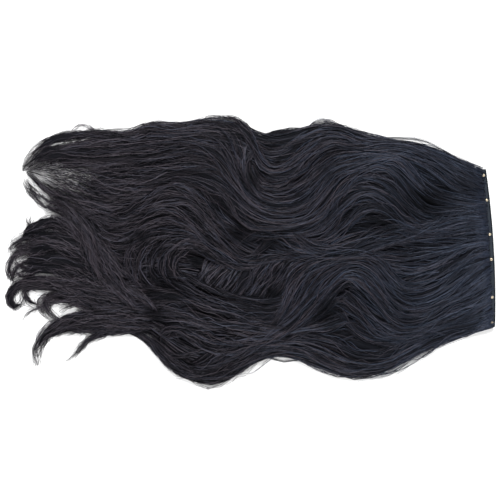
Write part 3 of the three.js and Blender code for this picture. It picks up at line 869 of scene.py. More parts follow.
high_waves = [
    ("edge_high", 4, 33, 0.6, [(482, 172), (463, 163), (440, 153), (415, 145), (385, 141), (360, 135),
        (338, 128), (322, 128), (306, 135), (290, 146), (276, 152), (264, 150), (254, 140), (245, 128),
        (236, 120)]),
    ("high_a", 5, 33, 0.84, [(483, 178), (470, 172), (452, 163), (430, 154), (408, 147), (385, 144),
        (360, 141), (340, 137), (324, 138), (309, 148), (295, 160), (282, 168), (270, 169), (261, 162),
        (255, 151), (249, 139), (241, 128), (230, 121)]),
    ("high_b", 5, 33, 0.94, [(484, 184), (470, 178), (455, 169), (438, 160), (418, 152), (398, 147),
        (375, 146), (352, 147), (334, 145), (316, 154), (301, 168), (287, 176), (272, 178), (261, 173),
        (254, 163)]),
    ("high_c", 6, 36, 0.84, [(485, 190), (472, 186), (458, 178), (445, 168), (430, 161), (414, 155),
        (398, 151), (378, 151), (355, 153), (335, 157), (318, 168), (304, 182), (290, 191), (276, 193),
        (262, 189), (252, 180), (245, 168), (240, 155), (235, 143), (228, 133), (215, 126), (200, 123)]),
    ("high_d", 5, 36, 0.92, [(486, 196), (470, 193), (456, 188), (444, 180), (433, 171), (420, 163),
        (408, 156), (395, 153), (376, 156), (352, 160), (333, 166), (319, 180), (306, 193), (292, 201),
        (277, 202), (262, 198), (250, 189), (240, 177), (232, 163), (225, 150), (217, 141), (204, 134),
        (188, 131)]),
    ("main_a", 5.5, 39, 1.03, [(486, 201), (466, 200), (448, 197), (434, 191), (422, 182), (411, 170),
        (402, 159), (391, 156), (372, 161), (350, 167), (334, 175), (322, 189), (310, 202), (296, 210),
        (280, 211), (264, 208), (250, 200), (238, 188), (228, 173), (220, 160), (210, 151), (197, 146),
        (180, 144)]),
    ("main_b", 5.5, 39, 0.88, [(487, 205), (468, 205), (450, 203), (436, 200), (424, 193), (413, 182),
        (403, 171), (392, 163), (376, 163), (358, 168), (342, 176), (331, 189), (320, 203), (309, 214),
        (297, 219), (282, 221), (266, 219), (250, 211), (237, 199), (226, 187), (214, 178), (200, 173),
        (184, 171), (165, 173)]),
    ("main_c", 6, 42, 1.02, [(487, 209), (470, 209), (452, 211), (436, 212), (424, 208), (413, 197),
        (403, 185), (392, 174), (377, 169), (361, 173), (347, 181), (336, 193), (327, 206), (315, 219),
        (300, 226), (283, 229), (266, 229), (250, 225), (240, 217), (232, 206), (224, 196), (212, 188),
        (198, 181), (182, 178), (164, 180)]),
    ("main_d", 5.5, 36, 0.86, [(488, 213), (470, 212), (455, 215), (440, 217), (426, 216), (414, 209),
        (403, 198), (393, 187), (379, 179), (364, 179), (351, 185), (341, 195), (332, 208), (321, 220),
        (310, 228), (297, 232), (280, 232), (264, 232), (252, 237), (243, 244), (236, 252)]),
    ("main_e", 5.5, 36, 0.96, [(488, 217), (468, 217), (450, 221), (434, 225), (420, 226), (408, 221),
        (397, 212), (385, 202), (372, 195), (359, 196), (347, 204), (337, 214), (327, 225), (317, 233),
        (305, 236), (292, 232)]),
    ("main_f", 5.5, 36, 0.86, [(489, 221), (468, 223), (448, 228), (430, 232), (414, 231), (400, 224),
        (388, 214), (375, 208), (362, 210), (351, 219), (341, 229), (330, 238), (317, 243), (303, 239),
        (291, 233)]),
    ("hook_a", 6, 39, 0.93, [(489, 226), (470, 227), (450, 231), (430, 234), (412, 232), (397, 229),
        (383, 232), (370, 238), (356, 245), (341, 249), (325, 249), (311, 245), (299, 238), (287, 232)]),
    ("hook_b", 5.5, 36, 0.84, [(490, 232), (468, 232), (446, 236), (425, 239), (405, 241), (388, 242),
        (372, 243), (358, 249), (343, 254), (328, 256), (314, 252), (302, 244), (290, 236), (276, 233)]),
    ("sheet", 5, 30, 1.0, [(487, 203), (474, 206), (462, 210), (450, 216), (438, 222), (422, 230),
        (405, 238), (388, 243), (372, 247), (358, 252), (344, 257), (330, 260)]),
]
low_waves = [
    ("centre", 5.5, 36, 0.86, [(490, 238), (470, 242), (450, 249), (430, 254), (412, 257), (396, 258),
        (380, 256), (366, 254), (352, 256), (338, 260), (324, 263), (310, 262)]),
    ("centre_low", 5.5, 30, 0.8, [(490, 244), (470, 248), (452, 256), (436, 265), (420, 271), (405, 272),
        (392, 268), (380, 261), (368, 256)]),
    ("low_a", 5.5, 39, 0.98, [(490, 250), (475, 254), (460, 262), (446, 272), (433, 281), (420, 286),
        (406, 287), (396, 280), (387, 270), (378, 261), (367, 256), (353, 256), (338, 259), (324, 262),
        (310, 268), (300, 278), (293, 291), (287, 304), (280, 317), (270, 328), (258, 336)]),
    ("low_b", 5.5, 39, 0.9, [(490, 257), (476, 263), (463, 272), (450, 281), (438, 289), (425, 295),
        (412, 297), (400, 294), (390, 285), (381, 275), (372, 266), (360, 261), (348, 262), (334, 268),
        (321, 278), (311, 290), (302, 303), (293, 316), (282, 327), (269, 336), (254, 342), (240, 350),
        (226, 358), (212, 367)]),
    ("low_c", 6, 39, 1.0, [(491, 265), (477, 274), (464, 284), (452, 293), (438, 300), (424, 305),
        (410, 306), (398, 301), (388, 292), (380, 283), (371, 274), (361, 268), (349, 268), (337, 274),
        (327, 284), (318, 296), (308, 308), (297, 320), (284, 331), (270, 339), (256, 346), (242, 355),
        (228, 364)]),
    ("low_d", 5.5, 36, 0.88, [(491, 274), (477, 283), (464, 292), (451, 300), (437, 308), (423, 315),
        (410, 318), (398, 314), (387, 304), (377, 292), (367, 281), (357, 274), (346, 274), (337, 281),
        (329, 292), (320, 304), (309, 315), (296, 326), (283, 334)]),
    ("low_e", 5.5, 39, 1.03, [(492, 284), (480, 292), (468, 298), (455, 302), (444, 308), (432, 317),
        (418, 323), (403, 324), (391, 318), (382, 309), (372, 298), (362, 288), (352, 281), (343, 283),
        (335, 290), (327, 299), (316, 311), (302, 322)]),
    ("low_f", 5, 33, 0.88, [(492, 293), (480, 302), (466, 309), (452, 315), (436, 322), (420, 328),
        (402, 331), (387, 327), (374, 319), (363, 309), (353, 299), (343, 292), (334, 297)]),
    ("low_g", 5, 33, 0.98, [(492, 300), (478, 309), (464, 316), (448, 322), (430, 330), (412, 335),
        (393, 336), (377, 331), (365, 322), (354, 311), (345, 303), (336, 301)]),
    ("low_h", 5.5, 33, 0.86, [(493, 308), (476, 317), (458, 322), (440, 328), (422, 334), (405, 340),
        (388, 341), (371, 339), (357, 331), (346, 321), (337, 312), (329, 310)]),
    ("low_i", 5.5, 33, 0.96, [(493, 315), (470, 324), (448, 329), (428, 335), (408, 342), (394, 350),
        (379, 356), (362, 356), (346, 350), (332, 343), (316, 338), (300, 337), (282, 340)]),
    ("low_j", 5.5, 33, 0.86, [(493, 319), (468, 329), (445, 334), (424, 342), (404, 353), (388, 362),
        (370, 365), (350, 362), (333, 355), (316, 348), (300, 344), (283, 345), (266, 347), (250, 353),
        (236, 362)]),
    ("edge_low_a", 5.5, 33, 0.8, [(493, 323), (466, 333), (442, 340), (416, 352), (394, 364), (374, 370),
        (352, 371), (335, 367), (318, 360), (303, 353), (287, 350), (270, 350), (256, 355), (243, 364),
        (230, 374), (215, 380), (195, 380)]),
    ("edge_low_b", 4, 30, 0.6, [(493, 325), (466, 334), (440, 342), (414, 355), (392, 367), (372, 373),
        (352, 375), (334, 371), (316, 364), (300, 357), (284, 354), (268, 354), (254, 359), (242, 368),
        (228, 377), (212, 382), (192, 378), (174, 369), (160, 356), (150, 344), (138, 336)]),
]

wave_locks = high_waves + low_waves
spine_samples = 400
# A lock that doesn't start at the weft comes up out of the mass over this length, and sinks back over it.
blend_run = 0.018
sunk_share = 0.6
lock_sink = 0.16


def smooth_line(points, samples):
    """A smooth curve through given points, as evenly spaced samples, and its length."""
    knots = from_photo(points)
    fine = np.linspace(0, 1, 40 * len(knots))
    cells, weights = grid_place(fine, len(knots))
    curve = (knots[cells] * weights[..., None]).sum(1)
    steps = np.linalg.norm(np.diff(curve, axis=0), axis=1)
    gone = np.concatenate([[0], np.cumsum(steps)])
    even = np.linspace(0, gone[-1], samples)
    return np.stack([np.interp(even, gone, curve[:, k]) for k in range(2)], 1), gone[-1]


def lock_spine(path, samples):
    """A lock's middle line, the direction across it, and its length."""
    spine, length = smooth_line(path, samples)
    way = unit(np.gradient(spine, axis=0))
    return spine, np.stack([-way[:, 1], way[:, 0]], 1), length


def lock_height(place, share, length, level, from_root, free_end):
    """How high a lock's middle lies, and how deep the hair is there."""
    deep = depth_here(place[..., 0], place[..., 1])
    rise = 1 if from_root else smooth_step(share * length / blend_run)
    sink = 1 if free_end else smooth_step((1 - share) * length / blend_run)
    share_of_depth = level * (sunk_share + (1 - sunk_share) * rise * sink) - lock_sink
    return underside(place[..., 0], place[..., 1]) + deep * share_of_depth, deep


def along_spine(lines, share):
    """A value for each share of the way along a lock, between its samples."""
    at = share * (spine_samples - 1)
    low = np.minimum(at.astype(int), spine_samples - 2)
    part = (at - low)[..., None]
    return lines[low] * (1 - part) + lines[low + 1] * part


def calm(length, full):
    """Short locks wander less than long ones, which have the whole of it from the full length on."""
    return min(length / full, 1)


# Three strands make a wisp. The wisps of a lock start and end at their own places: in metres at the weft and
# at a free tip, and elsewhere as a share of the lock.
wisp_strands = 3
root_stagger = 0.001
inner_stagger = 0.1
tip_stagger = 0.034
inner_cut = 0.2
cut_power = 2.5
# Some wisps stand out from their lock and wander farther, and are painted lighter, as a highlight.
loose_wisps = 0.16
loose_reach = 2.2
loose_lift = 0.0006
loose_painted_highlight = 0.12
# How far wisps wander across their lock, as a share of its width, and ripple, near the weft and at the tips
wander = 0.24
swell = 0.16
narrow_start = 0.75
ripple = 0.0001
far_ripple = 0.0006
# At a free tip the wisps draw together over the last stretch, and splay.
tip_run = 0.045
tip_splay = 0.0022
# The height of a lock's middle over its sides, as a share of its half width, and at most of the hair's depth
dome = 0.5
deepest_dome = 0.36
lock_sway = 0.0004
wisp_sway = 0.0002
lock_dip = 0.08
# The tones of the wisps spread round a middle tone, more so at the tips, which are a little darker.
wisp_tone = 0.42
wisp_contrast = 0.18
far_contrast = 0.16
far_darker = 0.06
# A wisp at a lock's side is painted darker, as the shade between locks. Loose wisps and locks that lie above
# the rest are painted lighter, as a highlight, and the dips and rises paint shade and highlight this
# strongly.
side_painted_shade = 0.35
raised_painted_highlight = 1.2
painted_light_strength = 1.3
# In its wisp each strand winds round the middle at its own distance, with a fine crinkle.
wind = (4, 16)
wind_radius = (0.0003, 0.0014)
wind_height = 0.6
far_wind = 0.8
crinkle = 0.00016
far_crinkle = 0.0007
lowest_strand = 0.0003
lock_strand_radius = (0.00016, 0.00034)
strand_contrast = 0.75
far_strand_contrast = 0.5


def comb_lock(rng, lock, from_root, free_end, points):
    """The strands of one lock: their paths, radii and tones."""
    _, half_width, strands, level, *ending, path = lock
    half = half_width * pixel
    tip_share = ending[0] if ending else 1
    spine, normal, length = lock_spine(path, spine_samples)
    wisps = math.ceil(strands / wisp_strands)
    run = np.linspace(0, 1, points)[None, :]

    def sway(strength, longest, shortest):
        return waves(rng, wisps, run, strength, length / longest, length / shortest)

    start = rng.uniform(0, root_stagger / length if from_root else inner_stagger, (wisps, 1))
    cut = rng.uniform(0, 1, (wisps, 1)) ** cut_power * (tip_stagger / length if free_end else inner_cut)
    share = start + (1 - cut - start) * run
    middle = along_spine(spine, share)
    aside = unit(along_spine(normal, share))
    far = np.clip(-middle[..., 0] / hair_length - 0.15, 0, 1)
    near_tip = smooth_step(1 - (1 - share) * length / tip_run) if free_end else 0

    loose = np.where(rng.uniform(0, 1, (wisps, 1)) < loose_wisps, loose_reach, 1)
    across = rng.uniform(-1, 1, (wisps, 1)) + sway(wander * calm(length, 0.07), 0.3, 0.08) * loose
    swelling = 1 + waves(rng, 1, share, swell, 0.8, 2.2)
    open_out = 1 if from_root else narrow_start + (1 - narrow_start) * smooth_step(share * 5)
    offset = half * swelling * open_out * (1 - (1 - tip_share) * near_tip) * across
    offset = offset + (ripple + far_ripple * far) * calm(length, 0.08) * loose * sway(1, 0.09, 0.03)
    offset = offset + tip_splay * near_tip**2 * rng.normal(0, 1, (wisps, 1))
    place = middle + aside * offset[..., None]

    height, deep = lock_height(place, share, length, level, from_root, free_end)
    z = height + np.minimum(half * dome, deep * deepest_dome) * np.clip(1 - across**2, -0.6, 1)
    z = z + waves(rng, 1, share, lock_sway, 1, 3) + sway(wisp_sway, 0.2, 0.06) * loose
    rise = dip_and_painted_light_at(middle[..., 0], middle[..., 1])
    z = z + loose_lift * (loose - 1) + lock_dip * deep * np.minimum(rise, 0)

    tones = rng.beta(0.5, 0.85, (wisps, 1)) * rng.uniform(0.75, 1.25)
    # Painted shade at the lock's sides, and painted highlight on loose wisps and on locks that lie high
    tones = tones * (side_painted_shade + (1 - side_painted_shade) * np.clip(1 - across**2, 0, 1))
    tones = tones + loose_painted_highlight * (loose - 1) + raised_painted_highlight * max(level - 1, 0)
    contrast = wisp_contrast + far_contrast * smooth_step(3 * far)
    tones = wisp_tone + contrast * (tones - wisp_tone) - far_darker * far

    in_wisp = np.arange(strands) // wisp_strands
    far = far[in_wisp]
    angle = rng.uniform(0, 2 * math.pi, (strands, 1))
    angle = angle + rng.uniform(*wind, (strands, 1)) * calm(length, 0.07) * run
    reach = rng.uniform(*wind_radius, (strands, 1)) * (1 + far_wind * far) * calm(length, 0.08)
    frizz = (crinkle + far_crinkle * far) * calm(length, 0.1) * rng.normal(0, 1, (strands, points))
    place = place[in_wisp] + aside[in_wisp] * (reach * np.cos(angle) + frizz)[..., None]
    z = z[in_wisp] + wind_height * reach * np.sin(angle)
    z = np.maximum(z, underside(place[..., 0], place[..., 1]) + lowest_strand)
    radius = rng.uniform(*lock_strand_radius, (strands, 1)) * np.clip((1 - run) * 6, 0.36, 1)
    own_tone = (strand_contrast + far_strand_contrast * far) * (rng.beta(0.4, 0.8, (strands, 1)) - 0.33)
    # The dips and rises darken and lighten the strands: painted shade and painted highlight.
    tones = (tones[in_wisp] + own_tone) * (1 + painted_light_strength * rise[in_wisp])
    tones = even_with_root_sheen(tones, middle[in_wisp][..., 0])
    return np.concatenate([place, z[..., None]], 2), radius, tones


def comb_locks(name, locks, seed, points, from_root=False, free_end=False):
    """The strands of these locks as one piece."""
    rng = np.random.default_rng(seed)
    combed = [comb_lock(rng, lock, from_root, free_end, points) for lock in locks]
    add_strands(name, *(np.concatenate(parts) for parts in zip(*combed)))


body_points = 26
body_corners = 8
body_flatness = 0.3
body_width = 0.8
body_taper = 0.03
open_tip_taper = 0.012
longest_closed_tip = 0.009
body_start = 0.02
most_taper = 0.3
thinnest_tip = 0.08
thinnest_start = 0.3


def lock_bodies(name, locks, from_root=False, free_end=False):
    """The dense inside of each lock: a flattened tube under its strands, which closes the mass, in the darker
    copy of the hair's material that paints the shade between strands.
    """
    paths = []
    radii = []
    around = []
    share = np.linspace(0, 1, body_points)
    for _, half_width, _, level, *ending, path in locks:
        half = half_width * pixel
        spine, normal, length = lock_spine(path, body_points)
        height, deep = lock_height(spine, share, length, level, from_root, free_end)
        radius = np.minimum(body_width * half, (deep * level + 0.001) / 2 / body_flatness)
        bare = ending[1] * pixel if ending else 0
        taper = open_tip_taper if bare > longest_closed_tip else min(body_taper, most_taper * length)
        close = smooth_step(((1 - share) * length - bare) / taper)
        widen = smooth_step(share * length / min(body_start, most_taper * length))
        radius = radius * (thinnest_tip + (1 - thinnest_tip) * close)
        radius = radius * (thinnest_start + (1 - thinnest_start) * widen)
        height = np.maximum(height, underside(spine[:, 0], spine[:, 1]) + radius * body_flatness)
        paths.append(np.concatenate([spine, height[:, None]], 1))
        radii.append(radius)
        around.append(np.abs(np.arange(body_corners) - body_corners / 2) * half / 2)
    paths = np.array(paths)
    places = np.repeat(paths[:, :, None], body_corners, 2)
    marks = strand_marks(places, np.array(around)[:, None, :]).reshape(-1, 2)
    bodies = tube_mesh(name, paths, np.array(radii), body_corners, marks, body_flatness)
    bodies.data.materials.append(shaded_inner_hair)
    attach(bodies, "root")


lock_bodies("lock_bodies_weft", wave_locks, from_root=True)
comb_locks("locks_high", high_waves, seed=11, points=36, from_root=True)
comb_locks("locks_low", low_waves, seed=14, points=36, from_root=True)

# Halfway along, the waves fold over each other. Long locks run on from the ones above, and cross under and
# over the swirl at the turn.

middle_locks = [
    ("arch_a", 6, 39, 0.98, [(250, 230), (237, 228), (225, 222), (213, 211), (203, 200), (193, 193),
        (181, 188), (169, 188), (157, 192), (147, 200), (136, 207), (122, 214), (106, 219)]),
    ("arch_b", 6, 36, 0.88, [(243, 245), (230, 238), (217, 228), (206, 217), (196, 207), (184, 201),
        (170, 202), (156, 207), (143, 214), (128, 221), (112, 226), (96, 228)]),
    ("arch_c", 6, 36, 0.96, [(228, 250), (215, 240), (203, 230), (190, 219), (176, 210), (162, 209),
        (148, 214), (134, 222), (118, 230), (102, 231)]),
    ("arch_d", 6, 36, 0.86, [(215, 247), (203, 238), (191, 230), (180, 225), (168, 222), (155, 224),
        (143, 230), (132, 238), (118, 243), (104, 238), (94, 229), (88, 221)]),
    ("trough_a", 6, 39, 0.95, [(300, 252), (285, 256), (272, 259), (258, 263), (243, 263), (229, 257),
        (215, 248), (203, 238), (190, 232), (176, 230), (160, 232), (146, 237), (134, 243), (120, 247)]),
    ("trough_b", 5, 33, 0.78, [(292, 262), (274, 264), (256, 266), (241, 266), (226, 261), (212, 252),
        (199, 246), (187, 243), (173, 243), (162, 246), (152, 252), (143, 259)]),
    ("band_3", 6, 33, 0.88, [(287, 315), (270, 319), (252, 317), (235, 313), (218, 310), (202, 305),
        (188, 300), (174, 297), (160, 297), (144, 299), (128, 302)]),
    ("band_4", 6, 33, 0.92, [(296, 325), (280, 327), (262, 326), (244, 325), (226, 324), (208, 322),
        (190, 316), (172, 312), (155, 312), (136, 313)]),
    ("slope", 6, 33, 0.82, [(340, 322), (322, 328), (303, 331), (285, 334), (268, 333), (250, 330),
        (232, 328), (214, 326), (196, 323), (178, 320), (160, 318), (140, 318)]),
    ("lobe_top", 5, 33, 0.95, [(300, 340), (281, 341), (262, 339), (248, 341), (233, 343), (218, 342),
        (205, 337), (193, 331), (180, 327), (168, 328), (160, 334), (155, 344)]),
    ("lobe_a", 6, 33, 0.84, [(262, 338), (248, 345), (235, 349), (220, 350), (206, 346), (194, 339),
        (182, 333), (170, 333), (162, 340), (165, 350)]),
    ("lobe_b", 6, 36, 0.9, [(275, 342), (262, 344), (248, 350), (235, 357), (222, 364), (208, 370),
        (194, 371), (181, 367), (169, 360), (160, 351), (154, 341)]),
    ("lobe_c", 5, 30, 0.84, [(250, 350), (238, 356), (226, 362), (212, 369), (198, 375), (184, 373),
        (172, 366), (161, 357), (152, 346)]),
    ("lower_a", 7, 36, 0.8, [(200, 307), (176, 305), (152, 306), (128, 308), (104, 310)]),
    ("lower_b", 8, 33, 0.55, [(172, 262), (150, 266), (130, 269), (112, 268), (96, 264), (82, 260)]),
    ("under_swirl", 9, 33, 0.5, [(178, 246), (156, 250), (134, 254), (114, 255), (98, 251), (84, 246)]),
    ("beside_diagonal", 7, 30, 0.5, [(160, 282), (140, 284), (122, 284), (106, 280), (92, 276)]),
]
lock_bodies("lock_bodies_middle", middle_locks)
comb_locks("locks_middle", middle_locks, seed=12, points=26)

# Short locks lie between and over those: the fan that comes down from the hook, the bands across its foot,
# the swirl round the dark hollow and the tight curl at the top. Single wisps lie over them or stray along the
# edges, and have no body; those that lie highest are painted lighter, as glints.

fold_locks = [
    ("fan_0", 7, 45, 0.95, [(215, 260), (207, 270), (200, 280), (195, 288)]),
    ("fan_1", 7, 45, 0.95, [(230, 262), (220, 273), (211, 284), (204, 294)]),
    ("fan_2", 7, 45, 0.95, [(245, 264), (235, 275), (227, 286), (219, 297)]),
    ("fan_3", 7, 45, 0.95, [(262, 257), (252, 268), (244, 280), (237, 292), (230, 302)]),
    ("fan_4", 7, 45, 0.95, [(277, 253), (266, 263), (257, 276), (250, 289), (243, 301)]),
    ("fan_5", 7, 45, 0.95, [(290, 255), (278, 265), (269, 278), (261, 291), (254, 303)]),
    ("fan_6", 7, 45, 0.95, [(303, 259), (291, 267), (281, 280), (273, 293), (265, 305)]),
    ("trough_edge", 3, 18, 1.0, [(268, 256), (258, 263), (247, 267.5), (235, 267), (222, 262), (209, 255),
        (197, 248), (185, 243.5), (172, 243), (161, 247), (153, 254)]),
    ("trough_top", 4, 21, 1.0, [(285, 236), (272, 240), (262, 250), (250, 259), (238, 258), (227, 249),
        (217, 238), (207, 228), (198, 219), (187, 211), (174, 206)]),
    ("arch_edge", 3, 18, 1.08, [(201, 204), (197, 197), (194, 191.5), (187, 188), (176, 185.5), (167, 187),
        (157, 192), (149, 200), (138, 206)]),
    ("arch_right", 4, 21, 1.03, [(226, 229), (216, 221), (208, 213), (201, 204), (195, 197), (188, 191)]),
    ("band_1", 4, 21, 0.95, [(294, 286), (285, 295), (272, 300), (256, 300), (240, 297), (222, 292),
        (206, 286), (192, 279), (180, 272)]),
    ("band_2", 5, 27, 1.03, [(293, 298), (281, 306), (266, 310), (250, 308.5), (234, 306), (218, 302),
        (204, 297), (190, 291), (177, 284), (165, 277)]),
    ("swirl_a", 5, 27, 0.86, [(208, 250), (197, 246), (187, 247), (178, 253), (174, 262), (176, 272),
        (184, 282)]),
    ("swirl_b", 6, 27, 0.88, [(203, 243), (190, 241), (177, 245), (167, 254), (163, 266), (166, 278),
        (176, 288)]),
    ("swirl_c", 6, 27, 0.84, [(196, 238), (181, 236), (166, 241), (155, 251), (151, 265), (155, 279),
        (167, 291)]),
    ("swirl_d", 6, 24, 0.86, [(186, 233), (170, 232), (154, 238), (143, 250), (140, 265), (145, 280),
        (158, 293)]),
    ("swirl_e", 5, 24, 0.82, [(174, 230), (157, 231), (142, 239), (131, 252), (130, 267), (136, 281),
        (149, 293)]),
    ("lobe_in", 3, 18, 0.9, [(216, 343), (204, 349), (190, 354), (177, 355.5), (165, 352), (157, 345)]),
    ("lobe_fan_a", 5, 21, 0.92, [(246, 342), (232, 350), (218, 359), (204, 366), (190, 371)]),
    ("lobe_fan_b", 5, 21, 0.94, [(226, 346), (212, 353), (199, 361), (186, 366)]),
    ("s_lock", 5, 27, 1.0, [(330, 262), (314, 264), (302, 271), (293, 282), (287, 295), (282, 308),
        (274, 320), (264, 330)]),
    ("s_edge", 3, 18, 0.96, [(346, 266), (334, 271), (325, 278), (316, 288), (308, 300)]),
    ("curl", 2.2, 18, 1.16, [(256, 147), (252.5, 152), (249, 158), (247.3, 166), (247.6, 174), (250, 182),
        (256, 190), (263, 197), (272, 201)]),
    ("curl_back", 3, 15, 1.04, [(250, 140), (246, 150), (244, 162), (246, 176), (251, 187), (260, 196),
        (272, 203)]),
    ("crescent_a", 3, 18, 1.02, [(257, 152), (256, 160), (261, 168), (271, 173), (283, 171), (295, 162)]),
    ("crescent_b", 3, 18, 1.04, [(252, 160), (253, 170), (257, 180), (264, 186), (276, 187.5), (286, 184),
        (294, 174)]),
    ("curl_edge", 1.5, 9, 0.9, [(222, 116), (234, 118), (244, 125), (252, 135), (260, 145), (268, 151)]),
    ("edge_back", 3, 15, 0.5, [(312, 132), (296, 131), (280, 132), (268, 135), (258, 140)]),
    ("cover_a", 6, 21, 0.8, [(430, 264), (412, 266), (396, 264), (380, 258)]),
    ("cover_b", 6, 21, 0.86, [(360, 322), (346, 322), (334, 326), (320, 330), (306, 333)]),
    ("hook_fill", 7, 39, 0.84, [(256, 236), (268, 241), (282, 246), (298, 250), (314, 253), (328, 255)]),
    ("core_cover", 6, 30, 0.72, [(172, 262), (184, 263), (197, 262), (208, 264), (218, 270)]),
]
single_wisps = [
    ("glint_a", 1.4, 9, 1.1, [(203, 223), (210, 230), (216, 237), (222, 244), (230, 253)]),
    ("glint_b", 1.2, 6, 1.08, [(278, 240), (283, 247), (289, 252.5), (296, 257)]),
    ("glint_c", 1, 6, 1.08, [(329, 342.5), (336, 341), (344, 339), (352, 337), (360, 336)]),
    ("glint_d", 1.2, 6, 1.06, [(152, 146), (160, 153), (168, 158), (178, 161)]),
    ("glint_e", 1, 6, 1.06, [(163, 140), (170, 147), (178, 155)]),
    ("tiny_curl", 0.6, 3, 1.1, [(361, 153), (362, 157), (365, 158.5), (368, 156), (369.5, 152)]),
    ("edge_top_a", 1, 9, 0.5, [(150, 127), (175, 124), (195, 119.5), (215, 116), (232, 116.5), (244, 122),
        (253, 131), (262, 140)]),
    ("edge_top_b", 1, 9, 0.5, [(296, 136), (305, 130), (314, 123), (324, 120), (336, 123), (350, 128),
        (366, 132)]),
    ("edge_top_c", 1, 9, 0.5, [(330, 126), (345, 127), (362, 131), (385, 137), (405, 141), (425, 145)]),
    ("edge_foot_a", 1.2, 9, 0.5, [(460, 334), (445, 341), (430, 348), (418, 354), (405, 361), (392, 367)]),
    ("edge_foot_b", 1, 6, 0.5, [(345, 377), (330, 376), (316, 370), (302, 363), (288, 358)]),
    ("edge_foot_c", 1, 6, 0.5, [(262, 360), (250, 365), (240, 372), (228, 380)]),
]
lock_bodies("lock_bodies_folds", fold_locks)
comb_locks("locks_folds", fold_locks + single_wisps, seed=16, points=18)

# The free ends part into separate locks that curl and taper on the white surface, with brown in the tips.
# The two values before a path are how wide the tip still is, as a share, and the length in pixels that has
# no body.

high_ends = [
    ("top_edge", 4.5, 48, 0.6, 0.5, 28, [(240, 124), (222, 122), (205, 124), (188, 126), (170, 127),
        (155, 126), (145, 128.5), (135, 133), (122, 135), (105, 133), (90, 133), (73, 135), (58, 137.5),
        (46, 142), (36, 149), (28, 158), (21, 170)]),
    ("top_end_a", 5, 45, 0.76, 0.6, 14, [(244, 140), (230, 135), (212, 131), (192, 132), (170, 134),
        (150, 134), (132, 137), (112, 139), (97, 141), (85, 143), (74, 146), (62, 148), (50, 150),
        (40, 154), (31, 160), (22, 168)]),
    ("top_end_b", 6, 48, 0.84, 0.8, 10, [(236, 150), (222, 146), (206, 142), (188, 140), (168, 142),
        (148, 145), (130, 148), (112, 150), (95, 152), (80, 153), (65, 153), (50, 155), (38, 160),
        (28, 167)]),
    ("top_end_c", 6, 48, 0.78, 0.5, 34, [(230, 165), (215, 155), (198, 150), (178, 152), (158, 156),
        (138, 159), (118, 161), (100, 162), (84, 162), (70, 161), (54, 162), (38, 167), (26, 171)]),
    ("top_end_d", 5, 42, 0.84, 0.7, 12, [(222, 172), (206, 163), (190, 162), (170, 166), (150, 170),
        (130, 171), (112, 171), (98, 171), (86, 171), (76, 173)]),
    ("top_fill_a", 6, 36, 0.8, 0.8, 12, [(170, 176), (150, 179), (130, 181), (112, 181), (98, 181),
        (86, 182), (77, 184)]),
    ("top_fill_b", 5, 30, 0.8, 0.8, 12, [(165, 187), (146, 189), (128, 190), (110, 190), (96, 191),
        (84, 193), (76, 196)]),
    ("veil_a", 3, 24, 0.8, 0.8, 300, [(160, 203), (144, 205), (128, 207), (112, 207), (96, 205), (82, 202),
        (68, 197), (54, 190), (42, 182)]),
    ("veil_b", 2, 15, 0.8, 0.8, 300, [(150, 208), (132, 210), (114, 210), (98, 208), (84, 205), (70, 200)]),
    ("top_wisp", 1, 9, 0.7, 0.3, 40, [(125, 135), (105, 132), (90, 128), (80, 126), (76, 128), (73, 131),
        (72.5, 134)]),
    ("loop_end_a", 6, 42, 0.8, 0.4, 70, [(206, 178), (190, 174), (172, 175), (152, 181), (132, 185),
        (112, 186), (95, 183), (80, 178), (62, 173), (45, 170), (30, 169), (22, 170)]),
    ("loop_end_b", 6, 42, 0.84, 0.4, 62, [(200, 184), (184, 181), (166, 184), (148, 190), (128, 194),
        (108, 195), (92, 193), (76, 188), (58, 181), (42, 175), (28, 171)]),
    ("loop_end_c", 4, 36, 0.8, 0.3, 40, [(180, 190), (160, 193), (142, 199), (124, 203), (106, 204),
        (90, 202), (76, 199), (62, 194), (48, 188), (36, 180), (26, 172)]),
    ("loop_low", 2.5, 33, 0.86, 0.5, 0, [(120, 216), (100, 214), (86, 211), (72, 207), (62, 201), (54, 196),
        (44, 190), (35, 182), (25, 172)]),
    ("loop_fill_a", 7, 42, 0.8, 0.5, 12, [(160, 206), (144, 213), (126, 219), (108, 220), (92, 216),
        (80, 211), (70, 206), (60, 203)]),
    ("loop_fill_b", 7, 39, 0.8, 0.6, 12, [(156, 222), (138, 230), (118, 233), (100, 230), (86, 223),
        (74, 215)]),
    ("tip_a", 2, 24, 0.9, 0.6, 34, [(76, 215), (62, 210), (50, 208), (41, 204), (34, 197), (28, 189),
        (23, 179)]),
    ("tip_b", 1.2, 15, 0.9, 0.6, 20, [(70, 209), (57, 205), (47, 201), (39, 194), (32, 187), (25, 179)]),
    ("diagonal_a", 4, 48, 1.35, 0.5, 0, [(160, 316), (152, 304), (140, 296), (128, 290), (118, 282),
        (110, 270), (102, 258), (97, 246), (91, 234), (84, 224), (76, 215), (68, 206), (60, 201), (52, 201),
        (47, 206)]),
    ("diagonal_b", 5, 51, 1.15, 0.5, 0, [(142, 312), (130, 303), (118, 292), (106, 282), (98, 272),
        (94, 262), (91, 250), (87, 240), (80, 230), (71, 221), (61, 214), (51, 211)]),
    ("diagonal_c", 5, 48, 1.05, 0.5, 0, [(135, 278), (124, 272), (113, 262), (103, 250), (94, 240),
        (86, 231), (76, 222), (66, 214), (56, 208)]),
    ("diagonal_d", 4, 39, 1.1, 0.5, 0, [(120, 296), (110, 287), (100, 279), (92, 268), (86, 256), (82, 245),
        (78, 236), (70, 226), (60, 219), (50, 215)]),
]
